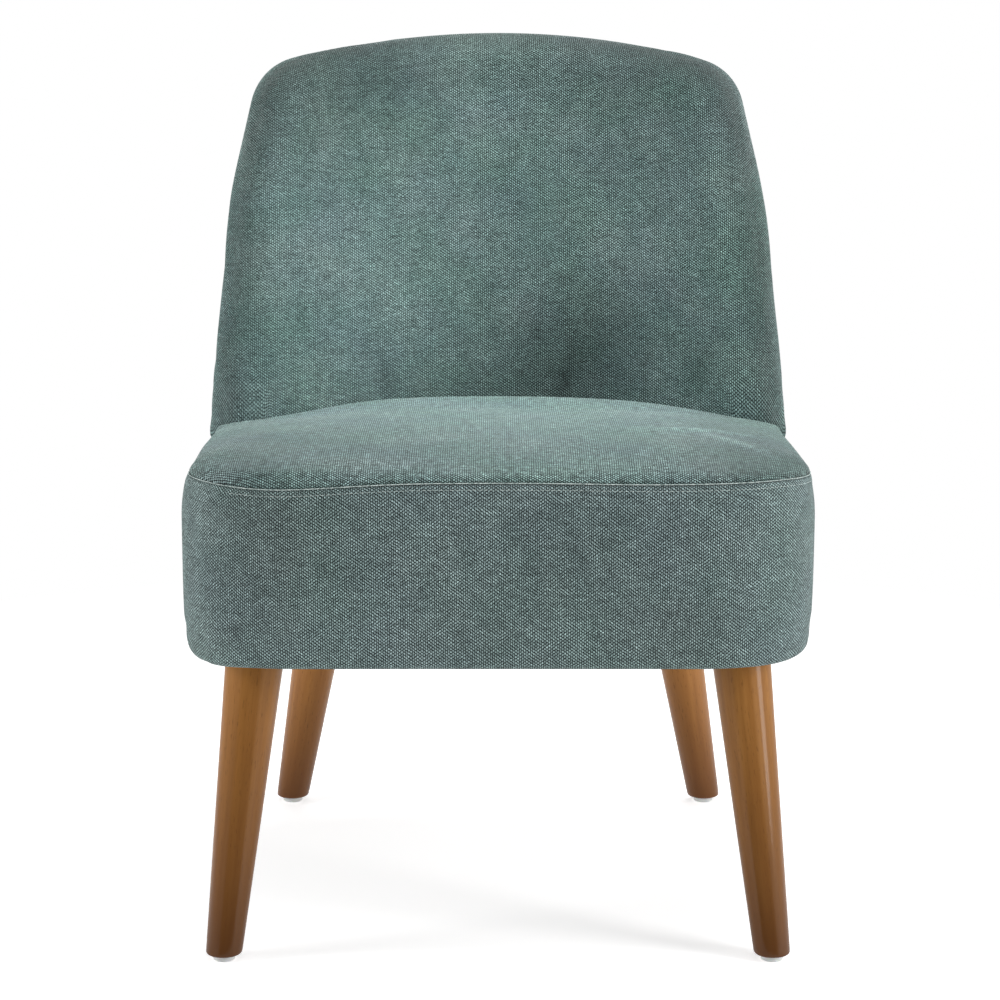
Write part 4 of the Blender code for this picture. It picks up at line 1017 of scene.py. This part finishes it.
def make_leg(tag, wood):
    """Tapered leg: a straight cone with its lower edge rounded."""
    foot, top = leg_axis("leg_" + tag)
    edge = rounded_foot(LEG_FOOT_RADIUS, FOOT_ROUND, foot.z)
    z = np.linspace(foot.z + FOOT_ROUND, top.z, LEG_ROWS)[1:]
    share = (z - foot.z) / (top.z - foot.z)
    side = LEG_FOOT_RADIUS + share * (LEG_TOP_RADIUS - LEG_FOOT_RADIUS) + 1j * z
    points, faces = lathe(np.concatenate([edge, side]), LEG_SEGMENTS, foot, top)
    piece = make_mesh("turned_leg_" + tag, points, faces)
    share = (points[..., 2] - foot.z) / (top.z - foot.z)
    axis = np.array(foot) + share[..., None] * (np.array(top) - np.array(foot))
    grain = points - axis
    grain[..., 2] = points[..., 2] + GRAIN_SHIFT[0] * foot.x + GRAIN_SHIFT[1] * foot.y
    layer = piece.data.attributes.new("grain", "FLOAT_VECTOR", "POINT")
    layer.data.foreach_set("vector", grain.astype(np.float32).ravel())
    # Painted light: the rear legs' colour is scaled up
    store(piece, "painted_leg_light", 1.0 if foot.y < 0 else REAR_LEG_PAINTED_LIGHT)
    dress(piece, wood, "stained_beech", "leg_" + tag)


def make_glide(tag, plastic):
    """Nail-on glide: a low disc whose lower edge is a quarter round."""
    low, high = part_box("glide_" + tag)
    middle = (low + high) / 2
    radius = (high.x - low.x) / 2
    edge = rounded_foot(radius, GLIDE_ROUND, 0.0)
    bevel = [complex(radius, GLIDE_HEIGHT - GLIDE_BEVEL), complex(radius - GLIDE_BEVEL, GLIDE_HEIGHT)]
    profile = np.concatenate([edge, bevel])
    axis_low = Vector((middle.x, middle.y, 0.0))
    axis_high = Vector((middle.x, middle.y, GLIDE_HEIGHT))
    points, faces = lathe(profile, GLIDE_SEGMENTS, axis_low, axis_high)
    piece = make_mesh("leg_glide_" + tag, points, faces)
    dress(piece, plastic, "glide_plastic", "glide_" + tag)


# Finishes

YARN_WANDER = (0.0014, 0.0014, 0.0)
WANDER_SCALE = 120.0
SLANT_SCALE = 110.0
SLANT_SHARES = (0.20, 0.66)
WARP_RUN = (7.31, 110.0)
WEFT_RUN = (64.0, 5.17)
PATCH_SCALE = 9.0
CLOUD_SCALE = 13.0
CLOUD_SHIFT = (3.7, 1.9, 0.0)
NAP_SCALE = 42.0
NAP_STRETCH = (1.0, 0.6, 1.0)
SLUB_STRETCH = (140.0, 260.0, 1.0)
SHEEN = (0.90, 0.98, 0.96, 1.0)
TWIST_SCALE = 420.0
STREAK_STRETCH = (150.0, 150.0, 5.0)
BROAD_STRETCH = (45.0, 45.0, 3.0)
FLECK_STRETCH = (900.0, 900.0, 110.0)
CROSSING_LIFT = 0.36
RIDGE_LIFT = 0.20
GREEN_YARN = (0.136, 0.230, 0.207, 1.0)
BLUE_YARN = (0.144, 0.218, 0.222, 1.0)
PALE_YARN = (0.173, 0.214, 0.206, 1.0)
# Painted sheen: the grey that the cloth's colour is turned towards
PAINTED_SHEEN_GREY = (0.183, 0.222, 0.226, 1.0)
# Thread colours; on the seam's bead their pale tone is partly a painted highlight
DARK_THREAD = (0.19, 0.25, 0.24, 1.0)
PALE_THREAD = (0.52, 0.60, 0.58, 1.0)
DARK_STREAK = (0.266, 0.109, 0.025, 1.0)
PALE_STREAK = (0.382, 0.172, 0.044, 1.0)
BROAD_STREAK = (0.280, 0.115, 0.026, 1.0)
# Painted shade: the wood is darkened towards the foot, over its lowest part
FOOT_PAINTED_SHADE = (0.085, 0.029, 0.006, 1.0)
PAINTED_SHADE_HEIGHT = 0.24
PAINTED_SHADE_SHARE = 0.97
WOOD_FLECK = (0.110, 0.042, 0.013, 1.0)
DARK_MILK = (0.82, 0.81, 0.79, 1.0)
PALE_MILK = (0.90, 0.89, 0.87, 1.0)
WHITE = (1.0, 1.0, 1.0, 1.0)
FLOOR_GREY = (0.86, 0.86, 0.86, 1.0)
FLAG_BLACK = (0.01, 0.01, 0.01, 1.0)


class Nodes:
    """A node tree in the making: inputs are sockets or plain values."""

    def __init__(self, owner):
        owner.use_nodes = True
        self.tree = owner.node_tree

    def feed(self, socket, value):
        if isinstance(value, bpy.types.NodeSocket):
            self.tree.links.new(value, socket)
        else:
            socket.default_value = value

    def node(self, kind, inputs, **settings):
        node = self.tree.nodes.new(kind)
        for key, value in settings.items():
            setattr(node, key, value)
        for key, value in inputs.items():
            self.feed(node.inputs[key], value)
        return node

    def math(self, operation, *values):
        return self.node("ShaderNodeMath", dict(enumerate(values)), operation=operation).outputs[0]

    def times(self, *values):
        return self.math("MULTIPLY", *values)

    def plus(self, *values):
        return self.math("ADD", *values)

    def minus(self, *values):
        return self.math("SUBTRACT", *values)

    def vector(self, operation, *values):
        node = self.node("ShaderNodeVectorMath", dict(enumerate(values)), operation=operation)
        return node.outputs[0]

    def split(self, vector):
        return self.node("ShaderNodeSeparateXYZ", {0: vector}).outputs

    def join(self, x, y, z=0.0):
        return self.node("ShaderNodeCombineXYZ", {0: x, 1: y, 2: z}).outputs[0]

    def mix(self, share, low, high):
        node = self.node("ShaderNodeMix", {0: share, 6: low, 7: high}, data_type="RGBA")
        return node.outputs[2]

    def scale(self, colour, share):
        node = self.node("ShaderNodeVectorMath", {0: colour, "Scale": share}, operation="SCALE")
        return node.outputs[0]

    def shade(self, share, low, high):
        """Number from low to high for a share from 0 to 1."""
        node = self.node("ShaderNodeMapRange", {0: share, 1: 0.0, 2: 1.0, 3: low, 4: high})
        return node.outputs[0]

    def noise(self, vector, scale, detail=2.0, rough=0.5):
        inputs = {"Vector": vector, "Scale": scale, "Detail": detail, "Roughness": rough}
        return self.node("ShaderNodeTexNoise", inputs).outputs[0]

    def place(self):
        """Place in the piece's own frame."""
        return self.node("ShaderNodeTexCoord", {}).outputs["Object"]

    def stored(self, name):
        """Number stored at the points of the piece."""
        return self.node("ShaderNodeAttribute", {}, attribute_name=name).outputs["Fac"]

    def spread(self, share, low, high):
        """Stretch a noise so that low to high fills 0 to 1."""
        node = self.node("ShaderNodeMapRange", {0: share, 1: low, 2: high})
        return node.outputs[0]

    def seen(self):
        """1 where the camera looks, directly, in a mirror or through glass, and 0 for plain light."""
        path = self.node("ShaderNodeLightPath", {}).outputs
        seen = self.math("MAXIMUM", path["Is Camera Ray"], path["Is Glossy Ray"])
        return self.math("MAXIMUM", seen, path["Is Transmission Ray"])


class Finish(Nodes):
    """A material in the making, with its shader."""

    def __init__(self, name):
        self.material = bpy.data.materials.new(name)
        super().__init__(self.material)
        self.shader = self.tree.nodes["Principled BSDF"]

    def bump(self, height, strength, distance):
        inputs = {"Height": height, "Strength": strength, "Distance": distance}
        self.feed(self.shader.inputs["Normal"], self.node("ShaderNodeBump", inputs).outputs[0])

    def set(self, **values):
        for key, value in values.items():
            self.feed(self.shader.inputs[key.replace("_", " ").title().replace("Ior", "IOR")], value)


def woven_fabric():
    """Plain weave of heathered chenille: cosines along the two slants of the weave, in shares that
    wander, lift every other crossing, and a cosine ridges the warp; crossings differ, yarns vary along
    their run, and soft patches turn greener, bluer or paler."""
    f = Finish("woven_upholstery_fabric")
    flat = f.node("ShaderNodeUVMap", {}, uv_map="weave").outputs[0]
    wander = f.node("ShaderNodeTexNoise", {"Vector": flat, "Scale": WANDER_SCALE}).outputs[1]
    wander = f.vector("MULTIPLY", f.vector("SUBTRACT", wander, (0.5, 0.5, 0.5)), YARN_WANDER)
    u, v, _ = f.split(f.vector("DIVIDE", f.vector("ADD", flat, wander), (WARP_PITCH, WEFT_PITCH, 1.0)))
    lean = f.shade(f.spread(f.noise(flat, SLANT_SCALE, 3.0, 0.6), 0.34, 0.66), *SLANT_SHARES)
    falling = f.math("COSINE", f.times(f.minus(u, v), math.pi))
    rising = f.math("COSINE", f.times(f.plus(u, v), math.pi))
    crossing = f.minus(f.times(falling, lean), f.times(rising, f.minus(1.0, lean)))
    ridge = f.math("COSINE", f.times(u, 2 * math.pi))
    height = f.plus(f.times(crossing, CROSSING_LIFT), f.times(ridge, -RIDGE_LIFT))
    height = f.spread(f.plus(height, 0.5), 0.24, 0.76)
    warp, weft = f.math("FLOOR", u), f.math("FLOOR", v)
    cell = {"Vector": f.join(warp, weft)}
    speck = f.node("ShaderNodeTexWhiteNoise", cell, noise_dimensions="2D").outputs["Value"]
    run_u, run_v, _ = f.split(flat)
    warp_run = f.noise(f.join(f.times(warp, WARP_RUN[0]), f.times(run_v, WARP_RUN[1])), 1.0)
    weft_run = f.noise(f.join(f.times(run_u, WEFT_RUN[0]), f.times(weft, WEFT_RUN[1])), 1.0)
    heather = f.spread(f.plus(f.times(warp_run, 0.6), f.times(weft_run, 1.4)), 0.58, 1.42)
    patch = f.spread(f.noise(flat, PATCH_SCALE, 3.0, 0.55), 0.34, 0.66)
    shifted = f.vector("ADD", flat, CLOUD_SHIFT)
    cloud = f.spread(f.noise(shifted, CLOUD_SCALE, 4.0, 0.6), 0.32, 0.68)
    brushed = f.vector("MULTIPLY", flat, NAP_STRETCH)
    # This noise is the cloth's own uneven pile; the stored share used below is the painted light
    nap_and_painted_light = f.spread(f.noise(brushed, NAP_SCALE, 3.0, 0.6), 0.30, 0.70)
    slub = f.spread(f.noise(f.vector("MULTIPLY", flat, SLUB_STRETCH), 1.0), 0.32, 0.68)
    tint = f.mix(patch, GREEN_YARN, BLUE_YARN)
    tint = f.mix(f.times(cloud, 0.45), tint, PALE_YARN)
    # Painted sheen: the cloth's colour turned greyer by a stored share
    tint = f.mix(f.stored("grey"), tint, PAINTED_SHEEN_GREY)
    light = f.plus(1.0, f.times(f.times(f.minus(height, 0.5), f.stored("relief")), 2.0))
    slubs = f.plus(1.0, f.times(f.minus(slub, 0.5), f.stored("slub")))
    # The stored share of painted light and shade scales the colour along with the cloth's own tones
    for share in (f.shade(heather, 0.62, 1.38), f.shade(speck, 0.74, 1.26), f.stored("nap_and_painted_light"), slubs,
                  f.shade(cloud, 0.88, 1.10), f.shade(nap_and_painted_light, 0.90, 1.10)):
        light = f.times(light, share)
    f.set(base_color=f.scale(tint, light), roughness=0.88, specular_ior_level=0.16, sheen_weight=0.30,
          sheen_roughness=0.30, sheen_tint=SHEEN)
    f.bump(height, 0.9, 0.0006)
    return f.material


def seam_thread_and_edge_highlight():
    """Twisted sewing thread, paler than the cloth; on the seam's bead its paleness is partly a
    painted highlight.
    """
    f = Finish("seam_thread_and_edge_highlight")
    twist = f.spread(f.noise(f.place(), TWIST_SCALE), 0.36, 0.64)
    f.set(base_color=f.mix(twist, DARK_THREAD, PALE_THREAD), roughness=0.7)
    f.bump(twist, 0.3, 0.0002)
    return f.material


def stained_wood():
    """Stained and lacquered beech: long streaks along the leg, short dark flecks, painted shade that
    deepens towards the foot, painted light on the rear legs and a satin coat."""
    f = Finish("stained_beech_lacquer")
    grain = f.node("ShaderNodeAttribute", {}, attribute_name="grain").outputs["Vector"]
    streak = f.noise(f.vector("MULTIPLY", grain, STREAK_STRETCH), 1.0, 4.0, 0.6)
    broad = f.noise(f.vector("MULTIPLY", grain, BROAD_STRETCH), 1.0, 2.0, 0.5)
    fleck = f.noise(f.vector("MULTIPLY", grain, FLECK_STRETCH), 1.0, 1.0, 0.5)
    tone = f.mix(f.spread(streak, 0.30, 0.70), DARK_STREAK, PALE_STREAK)
    tone = f.mix(f.times(f.spread(broad, 0.35, 0.7), 0.45), tone, BROAD_STREAK)
    level = f.split(f.place())[2]
    # Painted shade towards the foot, and painted light on the rear legs
    foot_shade = f.times(f.minus(1.0, f.spread(level, 0.0, PAINTED_SHADE_HEIGHT)), PAINTED_SHADE_SHARE)
    tone = f.scale(f.mix(foot_shade, tone, FOOT_PAINTED_SHADE), f.stored("painted_leg_light"))
    dark = f.times(f.spread(fleck, 0.62, 0.74), 0.45)
    f.set(base_color=f.mix(dark, tone, WOOD_FLECK), roughness=f.shade(streak, 0.40, 0.52),
          specular_ior_level=0.1, coat_weight=0.24, coat_roughness=0.10)
    f.bump(f.minus(streak, f.times(dark, 0.6)), 0.06, 0.0004)
    return f.material


def glide_plastic():
    """Milky moulded plastic."""
    f = Finish("milky_glide_plastic")
    cloud = f.noise(f.place(), 160.0)
    f.set(base_color=f.mix(cloud, DARK_MILK, PALE_MILK), roughness=0.38, subsurface_weight=0.15)
    f.bump(f.noise(f.place(), 1400.0), 0.05, 0.0002)
    return f.material


def plain_finish(name, low, high, scale, roughness, metallic, stretch=(1.0, 1.0, 1.0)):
    """Finish of a piece inside the chair: two tones mixed by a noise, stretched along its grain."""
    f = Finish(name)
    mottle = f.noise(f.vector("MULTIPLY", f.place(), stretch), scale, 3.0, 0.6)
    tone = f.mix(f.spread(mottle, 0.3, 0.7), (*low, 1.0), (*high, 1.0))
    f.set(base_color=tone, metallic=metallic,
          roughness=f.shade(mottle, roughness - 0.08, roughness + 0.08))
    f.bump(mottle, 0.25, 0.0004)
    return f.material


INNER_FINISHES = {
    "frame_pine": ((0.42, 0.27, 0.13), (0.60, 0.43, 0.24), 60.0, 0.62, 0.0, (0.2, 1.0, 1.0)),
    "zinc_steel": ((0.46, 0.46, 0.47), (0.62, 0.62, 0.63), 240.0, 0.35, 1.0),
    "spring_steel": ((0.20, 0.20, 0.21), (0.32, 0.32, 0.33), 300.0, 0.42, 1.0),
    "seat_foam": ((0.70, 0.66, 0.50), (0.80, 0.76, 0.60), 500.0, 0.95, 0.0),
    "white_wadding": ((0.74, 0.74, 0.73), (0.86, 0.86, 0.85), 220.0, 0.95, 0.0, (1.0, 1.0, 0.3)),
    "grey_felt": ((0.16, 0.16, 0.17), (0.30, 0.30, 0.31), 420.0, 0.95, 0.0),
    "dust_cloth": ((0.018, 0.018, 0.019), (0.045, 0.045, 0.047), 900.0, 0.92, 0.0),
    "elastic_webbing": ((0.05, 0.05, 0.06), (0.16, 0.15, 0.14), 500.0, 0.85, 0.0, (1.0, 1.0, 0.1)),
    "fibre_board": ((0.24, 0.16, 0.09), (0.34, 0.24, 0.15), 350.0, 0.85, 0.0),
}


def finish_frame(shown_finishes):
    """Every node of the frame gets the finish of its slot, the hidden ones too."""
    finishes = dict(shown_finishes)
    for name, recipe in INNER_FINISHES.items():
        finishes[name] = plain_finish("inner_" + name, *recipe)
    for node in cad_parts.values():
        for place_number, old in enumerate(node.data.materials):
            name = old.name.split(".")[0]
            if name in finishes:
                node.data.materials[place_number] = finishes[name]


# Stage


def make_stage():
    """Pale floor that keeps the shadow near the chair and runs out into plain white."""
    f = Finish("pale_floor")
    seen = f.seen()
    f.set(base_color=FLOOR_GREY, roughness=0.9, specular_ior_level=0.1, emission_color=WHITE,
          emission_strength=f.times(seen, FLOOR_LIFT))
    away = f.node("ShaderNodeVectorMath", {0: f.place()}, operation="LENGTH").outputs["Value"]
    white = f.node("ShaderNodeEmission", {"Strength": 1.0}).outputs[0]
    share = f.times(seen, f.spread(away, FLOOR_NEAR, FLOOR_FAR))
    both = f.node("ShaderNodeMixShader", {0: share, 1: f.shader.outputs[0], 2: white}).outputs[0]
    f.feed(f.tree.nodes["Material Output"].inputs["Surface"], both)
    edge = np.linspace(-FLOOR_HALF, FLOOR_HALF, 3)
    x, y = np.meshgrid(edge, edge)
    points = np.stack([x, y, np.zeros_like(x)], axis=-1)
    floor = make_mesh("studio_floor", points, grid_quads(grid_index(3, 3))[:, ::-1])
    floor.data.materials.append(f.material)


def make_world():
    """Soft grey surround for the light, plain white where the camera or a reflection looks at it."""
    world = bpy.data.worlds.new("studio")
    bpy.context.scene.world = world
    n = Nodes(world)
    back = n.tree.nodes["Background"].inputs
    n.feed(back["Color"], WHITE)
    n.feed(back["Strength"], n.shade(n.seen(), SURROUND_LIGHT, 1.0))


def make_flag(side, top, foot):
    """Dark card close in front of a front leg, seen only in the gloss of the leg: its edges lie at
    the given distances to the left and right of the leg's axis at the top and the foot."""
    low, high = leg_axis("leg_front_" + side)
    x = np.array([[low.x + foot[0], low.x + foot[1]], [high.x + top[0], high.x + top[1]]])
    y = np.array([[low.y, low.y], [high.y, high.y]]) - FLAG_DISTANCE
    z = np.array([[0.0, 0.0], [high.z, high.z]])
    flag = make_mesh("dark_flag_" + side, np.stack([x, y, z], axis=-1), grid_quads(grid_index(2, 2)))
    f = Finish("dark_flag_cloth_" + side)
    f.set(base_color=FLAG_BLACK, roughness=1.0, specular_ior_level=0.0)
    flag.data.materials.append(f.material)
    for kind in ("camera", "diffuse", "transmission", "shadow"):
        setattr(flag, "visible_" + kind, False)


def make_light(name, spot, width, height, power, mirrored):
    """Softbox at a spot, facing the seat; one that isn't mirrored leaves no highlight in gloss."""
    lamp = bpy.data.lights.new(name, "AREA")
    lamp.shape = "RECTANGLE"
    lamp.size = width
    lamp.size_y = height
    lamp.energy = power
    holder = bpy.data.objects.new(name, lamp)
    holder.location = spot
    holder.rotation_euler = (Vector(LIGHT_TARGET) - Vector(spot)).to_track_quat("-Z", "Y").to_euler()
    holder.visible_camera = False
    holder.visible_glossy = mirrored
    bpy.context.scene.collection.objects.link(holder)


def make_camera():
    """Camera that was fitted to the photograph's outline."""
    data = bpy.data.cameras.new("photo_camera")
    data.sensor_width = SENSOR
    data.lens = FOCAL_PIXELS / FRAME_PIXELS * SENSOR
    data.shift_x = CAMERA_SHIFT
    camera = bpy.data.objects.new("photo_camera", data)
    camera.location = (0.0, CAMERA_Y + FRONT_Y, CAMERA_Z)
    camera.rotation_euler = (math.pi / 2 - CAMERA_TILT, 0.0, 0.0)
    bpy.context.scene.collection.objects.link(camera)
    bpy.context.scene.camera = camera


def main():
    """Dress the frame, piece by piece, and set the stage."""
    fabric = woven_fabric()
    thread = seam_thread_and_edge_highlight()
    wood = stained_wood()
    plastic = glide_plastic()
    finish_frame({"woven_upholstery": fabric, "stained_beech": wood, "glide_plastic": plastic})
    make_back_cover(fabric)
    make_rear_cover(fabric)
    make_rear_welt(fabric)
    make_seat_cover(fabric)
    make_band(fabric)
    make_seam(thread)
    make_stitches(thread)
    for end in ("front", "rear"):
        for side in ("left", "right"):
            make_leg(f"{end}_{side}", wood)
            make_glide(f"{end}_{side}", plastic)
    make_stage()
    make_world()
    for flag in FLAGS:
        make_flag(*flag)
    for softbox in SOFTBOXES:
        make_light(*softbox)
    make_camera()
    bpy.context.scene.view_settings.view_transform = "Standard"


main()
